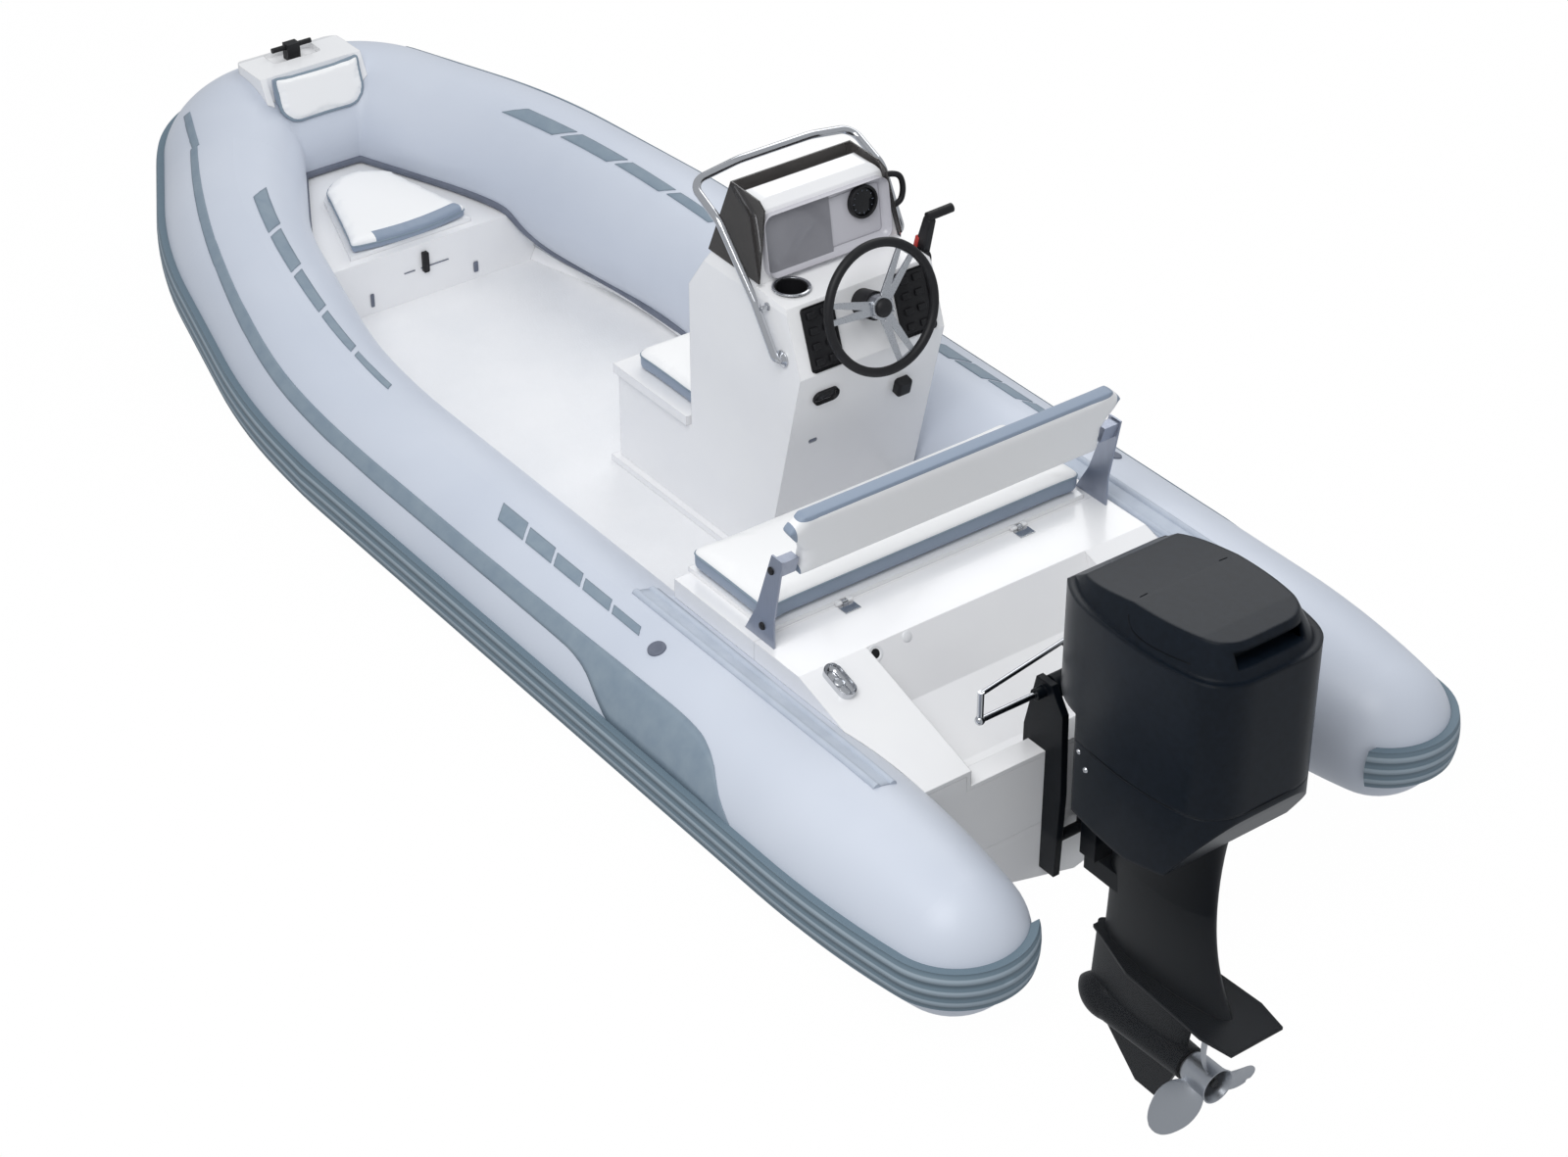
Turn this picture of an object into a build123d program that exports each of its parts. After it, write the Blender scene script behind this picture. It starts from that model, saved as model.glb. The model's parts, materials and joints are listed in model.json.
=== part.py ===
"""Rigid inflatable boat with a side console, an aft bench and an outboard motor.

Millimetres. +X is forward, +Y is to port, +Z is up. The origin is on the centreline, at the
transom's aft face, on the still waterline. Heights given as "above the tube" are measured from
the plane of the side tubes' axes.
"""
from build123d import *
import math
import os

# The tubes, and where the waterline lies on them
TUBE_R = 240
TUBE_AXIS_Y = 742
TUBE_AXIS_Z = 190
TUBE_STERN_TIP_X = -570
TUBE_NOSE_R = 200
TUBE_TAPER_LENGTH = 680
SHEER_BEND_X = 2430
SHEER_BEND_R = 2000
SHEER_ANGLE = 6.3
BOW_TUBE_X = 4170
BOW_FIRST_CORNER_X = 2780
BOW_FIRST_TURN = 12
BOW_SECOND_CORNER_X = 3580
BOW_SECOND_TURN = 16
BOW_FIRST_R = 1900
BOW_SECOND_R = 1500
BOW_LAST_R = 250

# Rubbing strake round the outside of the tubes
STRAKE_THICKNESS = 22
STRAKE_HALF_ANGLE = 13

# Hull and deck
# Stations along the hull: distance forward, keel height, chine's half breadth and height
HULL_STATIONS = (
    (0, -200, 610, -40),
    (2400, -200, 610, -40),
    (3000, -185, 560, -30),
    (3500, -120, 450, 10),
    (3850, 0, 290, 100),
    (4050, 110, 130, 170),
    (4150, 165, 60, 210),
)
SOLE_Z = 40
SOLE_THICKNESS = 16
COAMING_THICKNESS = 16
DECK_EDGE_Z = 90
HULL_WALL = 30
DECK_WALL = 14
MOULDING_HALF_WIDTH = 610
TRANSOM_THICKNESS = 56
WELL_HALF_WIDTH = 384
WELL_FRONT_X = 450
WELL_FLOOR_Z = 170
TRANSOM_PAD_Z = 250
SIDE_DECK_AFT_Z = 315

# Aft bench
BENCH_AFT_X = 649
BENCH_FRONT_X = 1020
BENCH_HALF_WIDTH = 577
BENCH_TOP_Z = 452
BENCH_WALL = 14
BENCH_LID_THICKNESS = 14
CUSHION_THICKNESS = 72
BACKREST_BOTTOM_Z = 661
BACKREST_HEIGHT = 235
BACKREST_THICKNESS = 45
BACKREST_HALF_WIDTH = 530
BACKREST_FLARE = 56
BACKREST_CORNER = 45
BACKREST_X = 592
BACKREST_LEAN = 11

# Bow locker
BOW_LOCKER_AFT_X = 3400
BOW_WALL_X = 3920
BOW_DECK_AFT_Z = 240
BOW_DECK_FRONT_Z = 290
BOW_LID_AFT_HALF_WIDTH = 235
BOW_LID_FRONT_HALF_WIDTH = 135
BOW_LID_FRONT_X = 3840
BOW_LID_THICKNESS = 16
BOW_CUSHION_THICKNESS = 42
LATCH_Y = -28
LATCH_Z = 172
LATCH_HEIGHT = 75
BOW_STEP_TOP_Z = 655
BOW_STEP_AFT_X = 4038
BOW_STEP_FRONT_X = 4252
BOW_STEP_CORNER_R = 80
CLEAT_RECESS_DEPTH = 22
CLEAT_HORN_R = 9
CLEAT_STANDOFF = 38
CLEAT_LENGTH = 150
BOW_STEP_HALF_WIDTH = 195
BOW_PAD_HALF_WIDTH = 170
BOW_PAD_HEIGHT = 175
BOW_PAD_CORNER_R = 75
BOW_PAD_THICKNESS = 45
BOW_PAD_LEAN = 17

# Console
CONSOLE_PORT_Y = 30
CONSOLE_WIDTH = 520
CONSOLE_WALL = 12
SEAT_FRONT_X = 2147
SEAT_TOP_Z = 360
CONSOLE_FRONT_X = 1760
DASH_SHELF_Z = 985
DASH_TOP_Z = 1220
DASH_FACE_X = 1435
DASH_FACE_TOP_X = 1470
DASH_FACE_TOP_Z = 1195
SHELF_AFT_X = 1288
HOOD_WAIST_Z = 960
HOOD_NARROWING = 50
HOOD_CORNER_R = 45
SCREEN_THICKNESS = 5
CUP_R = 46
CUP_X = 1373
CUP_Y = -54
CUP_DEPTH = 85
PANEL_WIDTH = 225
PANEL_HEIGHT = 180
PANEL_Y = -137
PANEL_Z = 1088
COMPASS_R = 50
COMPASS_Y = -365
COMPASS_Z = 1125
RAIL_R = 12.5
RAIL_STANDOFF = 24

# Steering wheel
WHEEL_R = 200
WHEEL_RIM_R = 14
SPOKE_TURN = 50
SPOKE_THICKNESS = 7
WHEEL_HUB_X = 1182
WHEEL_HUB_Z = 947
WHEEL_RAKE = 16

# Outboard motor
TILT_X = 20
TILT_Z = 450
TILT_TUBE_R = 17
COWL_JOINT_Z = 470
COWL_SHOULDER_Z = 880
COWL_CAP_Z = 965
COWL_WALL_SHARE = 0.045
COWL_HALF_WIDTH = 229
PROP_SHAFT_R = 12
STEER_X = -115
PLATE_Z = -300
PROP_Z = -550
PROP_R = 205
PROP_X = -565
BLADE_TURN = -122
BLADE_THICKNESS = 7
PROP_PITCH = 480
HUB_R = 48
HUB_BORE_R = 41
HUB_LENGTH = 108
SKEG_TIP_Z = -752
ARM_REACH = 205
CLAMP_HALF_WIDTH = 130
CLAMP_FOOT_Z = -130
SWIVEL_FOOT_Z = -60
STEER_SHAFT_R = 20
RAM_R = 9
RAM_END_Y = 345

# Tilt cylinder: its foot and its rod's eye as (x, z), and the barrel's length
TILT_FOOT = (-35, -20)
TILT_EYE = (-48, 330)
TILT_BARREL = 200

RUNNING_GAP = 0.5
SEAT_GAP = 0.3

os.makedirs("parts", exist_ok=True)
nodes = {}


def box(x0, x1, y0, y1, z0, z1):
    """A block between two opposite corners."""
    centre = ((x0 + x1) / 2, (y0 + y1) / 2, (z0 + z1) / 2)
    return Pos(*centre) * Box(x1 - x0, y1 - y0, z1 - z0)


def bar(start, end, radius):
    """A round bar between two points."""
    a, b = Vector(*start), Vector(*end)
    plane = Plane(origin=a, z_dir=b - a)
    return extrude(plane * Circle(radius), (b - a).length)


def side_profile(points, y0, y1):
    """A plate whose outline is given as (x, z) points, between two planes of constant y."""
    wire = Polyline(*[(x, y0, z) for x, z in points], close=True)
    return extrude(make_face(wire), y1 - y0, dir=(0, 1, 0))


def plan_profile(points, z0, z1):
    """A plate whose outline is given as (x, y) points, between two heights."""
    wire = Polyline(*[(x, y, z0) for x, y in points], close=True)
    return extrude(make_face(wire), z1 - z0, dir=(0, 0, 1))


def mirrored(points):
    """The points, then the same points across the centreline in reverse order."""
    return points + [(x, -y) for x, y in reversed(points)]


def to_starboard(shape):
    return mirror(shape, about=Plane.XZ)


# Tubes


def bow_plane():
    """The tilted plane that holds the forward part of the tubes' axis, with its origin at the bend."""
    tilt = math.radians(SHEER_ANGLE)
    return Plane(
        origin=(SHEER_BEND_X, 0, TUBE_AXIS_Z),
        x_dir=(math.cos(tilt), 0, math.sin(tilt)),
        z_dir=(-math.sin(tilt), 0, math.cos(tilt)),
    )


def bow_corners():
    """The corners of the axis in the bow plane, as (distance forward of the bend, half breadth)."""
    first = (BOW_FIRST_CORNER_X - SHEER_BEND_X, TUBE_AXIS_Y)
    run = BOW_SECOND_CORNER_X - BOW_FIRST_CORNER_X
    second = (first[0] + run, first[1] - run * math.tan(math.radians(BOW_FIRST_TURN)))
    run = (BOW_TUBE_X - SHEER_BEND_X) / math.cos(math.radians(SHEER_ANGLE)) - second[0]
    turn = math.radians(BOW_FIRST_TURN + BOW_SECOND_TURN)
    third = (second[0] + run, second[1] - run * math.tan(turn))
    return first, second, third


def side_axis():
    """Axis of the port tube, from the aft end of its full section to just short of the bow."""
    plane = bow_plane()
    first, second, third = bow_corners()
    start = Vector(TUBE_STERN_TIP_X + TUBE_TAPER_LENGTH, TUBE_AXIS_Y, TUBE_AXIS_Z)
    bend = plane.from_local_coords(Vector(0, TUBE_AXIS_Y, 0))
    corner_a = plane.from_local_coords(Vector(*first, 0))
    corner_b = plane.from_local_coords(Vector(*second, 0))
    middle = tuple((b + c) / 2 for b, c in zip(second, third))
    end = plane.from_local_coords(Vector(*middle, 0))
    return [start, bend, corner_a, corner_b, end], third, middle


def swept(section_plane_origin, direction, section, path):
    return sweep(Plane(origin=section_plane_origin, z_dir=direction) * section, path=path)


def side_path():
    points, _, _ = side_axis()
    return points, FilletPolyline(*points, radius=[SHEER_BEND_R, BOW_FIRST_R, BOW_SECOND_R])


def build_side_tube(grow=0):
    """Port tube: a taper with a round nose at the stern, then one section up to the bow joint."""
    points, path = side_path()
    body = swept(points[0], (1, 0, 0), Circle(TUBE_R + grow), path)
    return body + build_tube_end(grow)


def build_tube_end(grow=0):
    """The stern end, turned about the tube's axis: a small nose arc that meets a long taper arc."""
    tip = TUBE_STERN_TIP_X - grow
    nose_r = TUBE_NOSE_R + grow
    nose_centre = Vector(tip + nose_r, 0)
    join, long_r = taper_join(grow)
    start = (tip, 0)
    halfway = math.radians(135)
    nose_mid = nose_centre + Vector(math.cos(halfway), math.sin(halfway)) * nose_r
    full = (TUBE_STERN_TIP_X + TUBE_TAPER_LENGTH, TUBE_R + grow)
    half_x = (join[0] + full[0]) / 2
    drop = long_r - math.sqrt(long_r ** 2 - (full[0] - half_x) ** 2)
    long_mid = (half_x, full[1] - drop)
    nose = ThreePointArc(start, (nose_mid.X, nose_mid.Y), join)
    taper = ThreePointArc(join, long_mid, full)
    outline = [nose, taper, Line(full, (full[0], 0)), Line((full[0], 0), start)]
    turned = revolve(make_face(Wire(outline)), axis=Axis.X)
    return Pos(0, TUBE_AXIS_Y, TUBE_AXIS_Z) * turned


def taper_join(grow=0):
    """Where the nose arc meets the taper arc, and the taper arc's radius."""
    length = TUBE_TAPER_LENGTH - TUBE_NOSE_R
    long_r = (length ** 2 + TUBE_R ** 2 - TUBE_NOSE_R ** 2) / (2 * (TUBE_R - TUBE_NOSE_R))
    reach = long_r - TUBE_NOSE_R
    unit = (-length / reach, (long_r - TUBE_R) / reach)
    centre_x = TUBE_STERN_TIP_X + TUBE_NOSE_R
    nose_r = TUBE_NOSE_R + grow
    return (centre_x + unit[0] * nose_r, unit[1] * nose_r), long_r + grow


def bow_axis():
    """Axis of the bow tube, from one side joint across the bow to the other."""
    plane = bow_plane()
    _, third, middle = side_axis()
    corners = [middle, third, (third[0], -third[1]), (middle[0], -middle[1])]
    return [plane.from_local_coords(Vector(x, y, 0)) for x, y in corners]


def build_bow_tube(grow=0):
    points = bow_axis()
    path = FilletPolyline(*points, radius=BOW_LAST_R)
    return swept(points[0], points[1] - points[0], Circle(TUBE_R + grow), path)


def grown_tubes(grow):
    """All three tubes, fattened, as a cutter for what lies against them."""
    port = build_side_tube(grow)
    return [port, to_starboard(port), build_bow_tube(grow)]


def without(shape, cutters):
    for cutter in cutters:
        shape = shape - cutter
    return shape


# Rubbing strake


def strake_section():
    """The ring sector that lies on the tube's outer side."""
    ring = Circle(TUBE_R + STRAKE_THICKNESS) - Circle(TUBE_R + SEAT_GAP)
    half = (TUBE_R + STRAKE_THICKNESS) * math.sin(math.radians(STRAKE_HALF_ANGLE))
    return ring, half


def build_strakes():
    """One band round both tubes and the bow, ending inboard of each stern nose."""
    ring, half = strake_section()
    points, path = side_path()
    outer = TUBE_R + STRAKE_THICKNESS
    side_window = Pos(outer / 2, 0) * Rectangle(outer, 2 * half)
    side_plane = Plane(origin=points[0], x_dir=(0, 1, 0), z_dir=(1, 0, 0))
    side = sweep(side_plane * (ring & side_window), path=path)
    bow_points = bow_axis()
    bow_path = FilletPolyline(*bow_points, radius=BOW_LAST_R)
    direction = (bow_points[1] - bow_points[0]).normalized()
    up = bow_plane().z_dir
    bow_side = Plane(origin=bow_points[0], x_dir=up.cross(direction), z_dir=direction)
    bow = sweep(bow_side * (ring & side_window), path=bow_path)
    stern = build_tube_end(STRAKE_THICKNESS) - build_tube_end(SEAT_GAP)
    inner_end = TUBE_STERN_TIP_X + 0.35 * TUBE_NOSE_R
    far = TUBE_STERN_TIP_X + TUBE_TAPER_LENGTH
    z0, z1 = TUBE_AXIS_Z - half, TUBE_AXIS_Z + half
    outside = box(TUBE_STERN_TIP_X - 50, far, TUBE_AXIS_Y, TUBE_AXIS_Y + 2 * TUBE_R, z0, z1)
    round_nose = box(TUBE_STERN_TIP_X - 50, inner_end, TUBE_AXIS_Y - TUBE_R, TUBE_AXIS_Y, z0, z1)
    stern = stern & (outside + round_nose)
    return side + stern, bow


# Hull and deck


def tube_axis_at(x):
    """Half breadth and height of the tubes' axis at a place along the boat, corners not rounded."""
    first = math.tan(math.radians(BOW_FIRST_TURN))
    second = math.tan(math.radians(BOW_FIRST_TURN + BOW_SECOND_TURN))
    rise = max(x - SHEER_BEND_X, 0) * math.tan(math.radians(SHEER_ANGLE))
    gentle = min(max(x - BOW_FIRST_CORNER_X, 0), BOW_SECOND_CORNER_X - BOW_FIRST_CORNER_X)
    steep = max(x - BOW_SECOND_CORNER_X, 0)
    return TUBE_AXIS_Y - gentle * first - steep * second, TUBE_AXIS_Z + rise


def hull_section(x, keel_z, chine_y, chine_z, inset):
    """One station: V bottom to the chine, then up into the tube, and closed across the top."""
    axis_y, axis_z = tube_axis_at(x)
    half = [
        (0, keel_z + inset), (chine_y - inset, chine_z + inset),
        (axis_y - 0.48 * TUBE_R, axis_z - 0.8 * TUBE_R + inset), (axis_y - 0.3 * TUBE_R, axis_z + 0.3 * TUBE_R),
    ]
    points = [(x, y, z) for y, z in half] + [(x, -y, z) for y, z in reversed(half[1:])]
    return make_face(Polyline(*points, close=True))


def hull_body(inset=0):
    """Everything between the tubes above the bottom, with the bottom raised by the inset."""
    return loft([hull_section(*station, inset) for station in HULL_STATIONS], ruled=True)


def build_hull(tubes):
    """V bottom with hard chines from the transom to the stem, under and between the tubes."""
    floor = SOLE_Z - SOLE_THICKNESS - SEAT_GAP
    inside = hull_body(HULL_WALL) & cockpit_block(floor, 1000, -10, BOW_TUBE_X)
    return inner_solid(without(hull_body() - inside, tubes))


def cockpit_block(z0, z1, x0, x1):
    """A slab that reaches well into the tubes on both sides."""
    return box(x0, x1, -TUBE_AXIS_Y, TUBE_AXIS_Y, z0, z1)


def build_liner(tubes, thick_tubes):
    """The sole and the low coaming that stands up against the tubes."""
    low = SOLE_Z - SOLE_THICKNESS
    block = cockpit_block(low, DECK_EDGE_Z, TRANSOM_THICKNESS + SEAT_GAP, BOW_LOCKER_AFT_X)
    outside = without(block & hull_body(HULL_WALL + SEAT_GAP), tubes)
    inside = without(cockpit_block(SOLE_Z, DECK_EDGE_Z + 10, -10, BOW_LOCKER_AFT_X + 10), thick_tubes)
    return inner_solid(outside - inside)


def inner_solid(shape):
    """Of the pieces that the tubes cut a slab into, the one on the centreline."""
    solids = shape.solids()
    return min(solids, key=lambda solid: (abs(solid.center().Y), -solid.volume))


def build_transom():
    """The stern board: a low pad amidships for the motor and higher shoulders beside it."""
    floor = SOLE_Z - SOLE_THICKNESS
    shoulder = SIDE_DECK_AFT_Z - DECK_WALL - SEAT_GAP
    recess = WELL_HALF_WIDTH + DECK_WALL + SEAT_GAP
    half = [(recess, TRANSOM_PAD_Z), (recess, shoulder), (MOULDING_HALF_WIDTH, shoulder),
            (MOULDING_HALF_WIDTH, floor)]
    outline = [(0, y, z) for y, z in half] + [(0, -y, z) for y, z in reversed(half)]
    wire = Polyline(*outline, close=True)
    return extrude(make_face(wire), TRANSOM_THICKNESS, dir=(1, 0, 0))


def deck_line():
    """The side deck's height along the boat, as (x, z) points: a slope, then level under the bench."""
    return [(0, SIDE_DECK_AFT_Z), (WELL_FRONT_X, BENCH_TOP_Z), (BENCH_AFT_X, BENCH_TOP_Z)]


def under(points, drop):
    """The same line, lowered, and run backwards."""
    return [(x, z - drop) for x, z in reversed(points)]


def well_line():
    """The motor well's floor: over the transom, down behind it, then up to the bench's deck."""
    cap = TRANSOM_PAD_Z + DECK_WALL
    front = TRANSOM_THICKNESS + SEAT_GAP + DECK_WALL
    return [(0, cap), (front, cap), (front, WELL_FLOOR_Z), (WELL_FRONT_X - 270, WELL_FLOOR_Z + 10),
            (WELL_FRONT_X - 90, WELL_FLOOR_Z + 120), (WELL_FRONT_X, BENCH_TOP_Z)]


def build_aft_deck():
    """Side decks and the sloping motor well between the bench and the transom, in one moulding."""
    wall = DECK_WALL
    edge = MOULDING_HALF_WIDTH
    deck = side_profile(deck_line() + under(deck_line(), wall), WELL_HALF_WIDTH, edge)
    skirt = side_profile(deck_line() + [(BENCH_AFT_X, SOLE_Z), (0, SOLE_Z)], edge - wall, edge)
    front = side_profile(deck_line()[1:] + under(deck_line()[1:], wall), -WELL_HALF_WIDTH, WELL_HALF_WIDTH)
    inner_front = TRANSOM_THICKNESS + SEAT_GAP
    line = well_line()
    floor = side_profile(
        line + [(WELL_FRONT_X + wall, BENCH_TOP_Z), (WELL_FRONT_X + wall - 4, BENCH_TOP_Z - 8),
                (WELL_FRONT_X - 80, WELL_FLOOR_Z + 108), (WELL_FRONT_X - 266, WELL_FLOOR_Z - 4),
                (inner_front, WELL_FLOOR_Z - wall), (inner_front, TRANSOM_PAD_Z + SEAT_GAP),
                (0, TRANSOM_PAD_Z + SEAT_GAP)], -WELL_HALF_WIDTH, WELL_HALF_WIDTH)
    cheek = side_profile(
        deck_line()[:2] + [(WELL_FRONT_X, WELL_FLOOR_Z + 100), (WELL_FRONT_X - 266, WELL_FLOOR_Z - 4),
                           (inner_front, WELL_FLOOR_Z - wall), (inner_front, TRANSOM_PAD_Z + SEAT_GAP),
                           (0, TRANSOM_PAD_Z + SEAT_GAP)], WELL_HALF_WIDTH, WELL_HALF_WIDTH + wall)
    side = deck + skirt + cheek
    return side + to_starboard(side) + front + floor


def build_bench_base(tubes, coaming_tubes):
    """The box under the aft bench: four walls, open at the top under the lid."""
    low = SOLE_Z + SEAT_GAP
    aft = BENCH_AFT_X + SEAT_GAP
    wall = BENCH_WALL
    edge = MOULDING_HALF_WIDTH
    outer = box(aft, BENCH_FRONT_X, -edge, edge, low, BENCH_TOP_Z)
    hollow = box(aft + wall, BENCH_FRONT_X - wall, wall - edge, edge - wall, low - 1, BENCH_TOP_Z - wall)
    mouth = box(aft + 50, BENCH_FRONT_X - 50, -480, 480, low, BENCH_TOP_Z + 1)
    beside_coaming = cockpit_block(0, DECK_EDGE_Z + SEAT_GAP, 0, BOW_LOCKER_AFT_X)
    coaming = [tube & beside_coaming for tube in coaming_tubes]
    return inner_solid(without(outer - hollow - mouth, tubes + coaming))


# Aft bench


def build_bench_lid():
    z0 = BENCH_TOP_Z + SEAT_GAP
    return box(BENCH_AFT_X + 6, BENCH_FRONT_X + 8, -BENCH_HALF_WIDTH + 20, BENCH_HALF_WIDTH - 20,
               z0, z0 + BENCH_LID_THICKNESS)


def build_bench_cushion():
    z0 = BENCH_TOP_Z + 2 * SEAT_GAP + BENCH_LID_THICKNESS
    block = box(BENCH_AFT_X + 6, BENCH_FRONT_X + 10, -BENCH_HALF_WIDTH, BENCH_HALF_WIDTH,
                z0, z0 + CUSHION_THICKNESS)
    return fillet(block.edges().filter_by(Axis.Z), 25)


def backrest_frame():
    """Plane of the backrest: x runs to starboard, y up along the leaning back."""
    lean = math.radians(BACKREST_LEAN)
    return Plane(origin=(BACKREST_X, 0, BACKREST_BOTTOM_Z), x_dir=(0, -1, 0),
                 z_dir=(-math.cos(lean), 0, -math.sin(lean)))


def build_backrest():
    """The pad: upright ends that flare out towards a straight top with cut corners."""
    w, h = BACKREST_HALF_WIDTH, BACKREST_HEIGHT
    wide = w + BACKREST_FLARE
    half = [(w, 0), (w, 0.42 * h), (wide, h - BACKREST_CORNER), (wide - BACKREST_CORNER, h)]
    outline = Polyline(*half, *[(-x, y) for x, y in reversed(half)], close=True)
    return extrude(backrest_frame() * make_face(outline), BACKREST_THICKNESS / 2, both=True)


def build_backrest_bracket():
    """Port end bracket: a gusset on the deck beside the cushion, and an arm up to the pad."""
    y0 = BENCH_HALF_WIDTH + 6
    z0 = BENCH_TOP_Z + SEAT_GAP
    top = BACKREST_BOTTOM_Z + 90
    lean = math.tan(math.radians(BACKREST_LEAN))
    arm_x = BACKREST_X - lean * 90
    plate = side_profile(
        [(BENCH_AFT_X - 60, z0), (BENCH_AFT_X + 70, z0), (BENCH_AFT_X + 20, z0 + 90), (arm_x + 24, top),
         (arm_x - 24, top), (BENCH_AFT_X - 60, z0 + 90)], y0, y0 + 6)
    tab = side_profile(
        [(BACKREST_X - 20, BACKREST_BOTTOM_Z + 30), (BACKREST_X + 16, BACKREST_BOTTOM_Z + 30),
         (arm_x + 16, top - 6), (arm_x - 20, top - 6)], BACKREST_HALF_WIDTH + SEAT_GAP, y0 + 1)
    return plate + tab


def build_bench_hinge(y):
    """A strap hinge: its leaf on the deck, with the middle knuckle. The outer ones are the lid's."""
    z0 = BENCH_TOP_Z + SEAT_GAP
    leaf = box(BENCH_AFT_X - 46, BENCH_AFT_X - 12, y - 26, y + 26, z0, z0 + 3)
    knuckle = Pos(BENCH_AFT_X - 4, y, z0 + 8) * Rot(90, 0, 0) * Cylinder(6, 18)
    web = box(BENCH_AFT_X - 14, BENCH_AFT_X - 4, y - 9, y + 9, z0, z0 + 8)
    return leaf + knuckle + web


def build_lid_knuckles():
    """The outer knuckles of both hinges, on straps from the lid's aft edge."""
    z0 = BENCH_TOP_Z + SEAT_GAP
    made = []
    for y in (-309, 309):
        for side in (-1, 1):
            centre = y + side * 18
            knuckle = Pos(BENCH_AFT_X - 4, centre, z0 + 8) * Rot(90, 0, 0) * Cylinder(6, 16)
            strap = box(BENCH_AFT_X - 4, BENCH_AFT_X + 8, centre - 8, centre + 8, z0 + 4, z0 + 12)
            made.append(knuckle + strap)
    return made


# Bow


def bow_deck_z(x):
    share = (x - BOW_LOCKER_AFT_X) / (BOW_WALL_X - BOW_LOCKER_AFT_X)
    return BOW_DECK_AFT_Z + share * (BOW_DECK_FRONT_Z - BOW_DECK_AFT_Z)


def lid_plan(grow=0):
    """The locker lid's outline: narrow and rounded towards the bow."""
    aft, front = BOW_LOCKER_AFT_X + 30 - grow, BOW_LID_FRONT_X + grow
    a, b = BOW_LID_AFT_HALF_WIDTH + grow, BOW_LID_FRONT_HALF_WIDTH + grow
    wire = Wire([
        Line((aft, -a), (aft, a)), Line((aft, a), (front - 70, b)),
        ThreePointArc((front - 70, b), (front, 0), (front - 70, -b)), Line((front - 70, -b), (aft, -a)),
    ])
    return make_face(wire)


def bow_deck_slab(z_shift, thickness, plan):
    """A slab parallel to the sloping bow deck, cut to a plan outline."""
    slope = (BOW_DECK_FRONT_Z - BOW_DECK_AFT_Z) / (BOW_WALL_X - BOW_LOCKER_AFT_X)
    x0, x1 = BOW_LOCKER_AFT_X - 100, BOW_WALL_X + 300
    z0 = BOW_DECK_AFT_Z + z_shift - 100 * slope
    z1 = BOW_DECK_AFT_Z + z_shift + (x1 - BOW_LOCKER_AFT_X) * slope
    slab = side_profile([(x0, z0), (x1, z1), (x1, z1 + thickness), (x0, z0 + thickness)], -500, 500)
    return slab & extrude(plan, 900)


def build_bow_locker(tubes):
    """Raised foredeck with a locker mouth, and the bulkhead that closes it aft."""
    aft = BOW_LOCKER_AFT_X + SEAT_GAP
    region = make_face(Polyline((aft, -700), (BOW_WALL_X + 120, -700), (BOW_WALL_X + 120, 700), (aft, 700),
                                close=True))
    deck = bow_deck_slab(-BOW_LID_THICKNESS, BOW_LID_THICKNESS, region) - extrude(lid_plan(-30), 900)
    top = bow_deck_z(aft) - BOW_LID_THICKNESS / 2
    bulkhead = box(aft, aft + BOW_LID_THICKNESS, -700, 700, SOLE_Z - SOLE_THICKNESS, top)
    inside = hull_body(HULL_WALL + SEAT_GAP)
    return inner_solid(without((deck + bulkhead) & inside, tubes))


def build_bow_lid():
    return bow_deck_slab(SEAT_GAP, BOW_LID_THICKNESS, lid_plan())


def build_bow_cushion():
    return bow_deck_slab(2 * SEAT_GAP + BOW_LID_THICKNESS, BOW_CUSHION_THICKNESS, lid_plan())


def build_bow_step(tubes, strake):
    """The moulded step over the crown of the bow tube, with a recess for the cleat."""
    top = BOW_STEP_TOP_Z
    aft, front = BOW_STEP_AFT_X, BOW_STEP_FRONT_X
    outline = [(aft, top), (front - 55, top - 2), (front - 18, top - 14), (front - 4, top - 40), (front, top - 90),
               (BOW_TUBE_X, top - 200), (aft - 90, top - 180)]
    block = side_profile(outline, -BOW_STEP_HALF_WIDTH, BOW_STEP_HALF_WIDTH)
    length = 2 * (front - aft)
    plan = Pos(front - length / 2, 0, 0) * RectangleRounded(length, 2 * BOW_STEP_HALF_WIDTH, BOW_STEP_CORNER_R)
    x = BOW_TUBE_X - 5
    recess = box(x - 45, x + 45, -92, 92, top - CLEAT_RECESS_DEPTH, top + 1)
    recess = fillet(recess.edges().filter_by(Axis.Z), 18)
    behind = extrude(pad_face(2 * BOW_PAD_HEIGHT), BOW_PAD_THICKNESS + 400, dir=pad_plane().z_dir)
    shape = without((block & extrude(plan, 2 * top)) - recess, [tubes[-1], strake, behind])
    return max(shape.solids(), key=lambda solid: solid.volume)


def pad_plane():
    """The leaning plane of the pad's back: x to starboard, y up it, z aft."""
    lean = math.radians(BOW_PAD_LEAN)
    return Plane(origin=(BOW_STEP_AFT_X, 0, BOW_STEP_TOP_Z), x_dir=(0, -1, 0),
                 z_dir=(-math.cos(lean), 0, math.sin(lean)))


def pad_face(height=BOW_PAD_HEIGHT):
    """The pad's outline: a straight top edge and a foot with rounded corners."""
    w, r = BOW_PAD_HALF_WIDTH, BOW_PAD_CORNER_R
    plate = Pos(0, -height / 2) * RectangleRounded(2 * w, height, r)
    square_top = Pos(0, -height / 4) * Rectangle(2 * w, height / 2)
    return pad_plane() * (plate + square_top)


def build_bow_pad(tubes):
    """The D-shaped backrest that leans against the bow tube and the step."""
    pad = extrude(pad_face(), BOW_PAD_THICKNESS, dir=pad_plane().z_dir)
    return without(pad, tubes)


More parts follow.
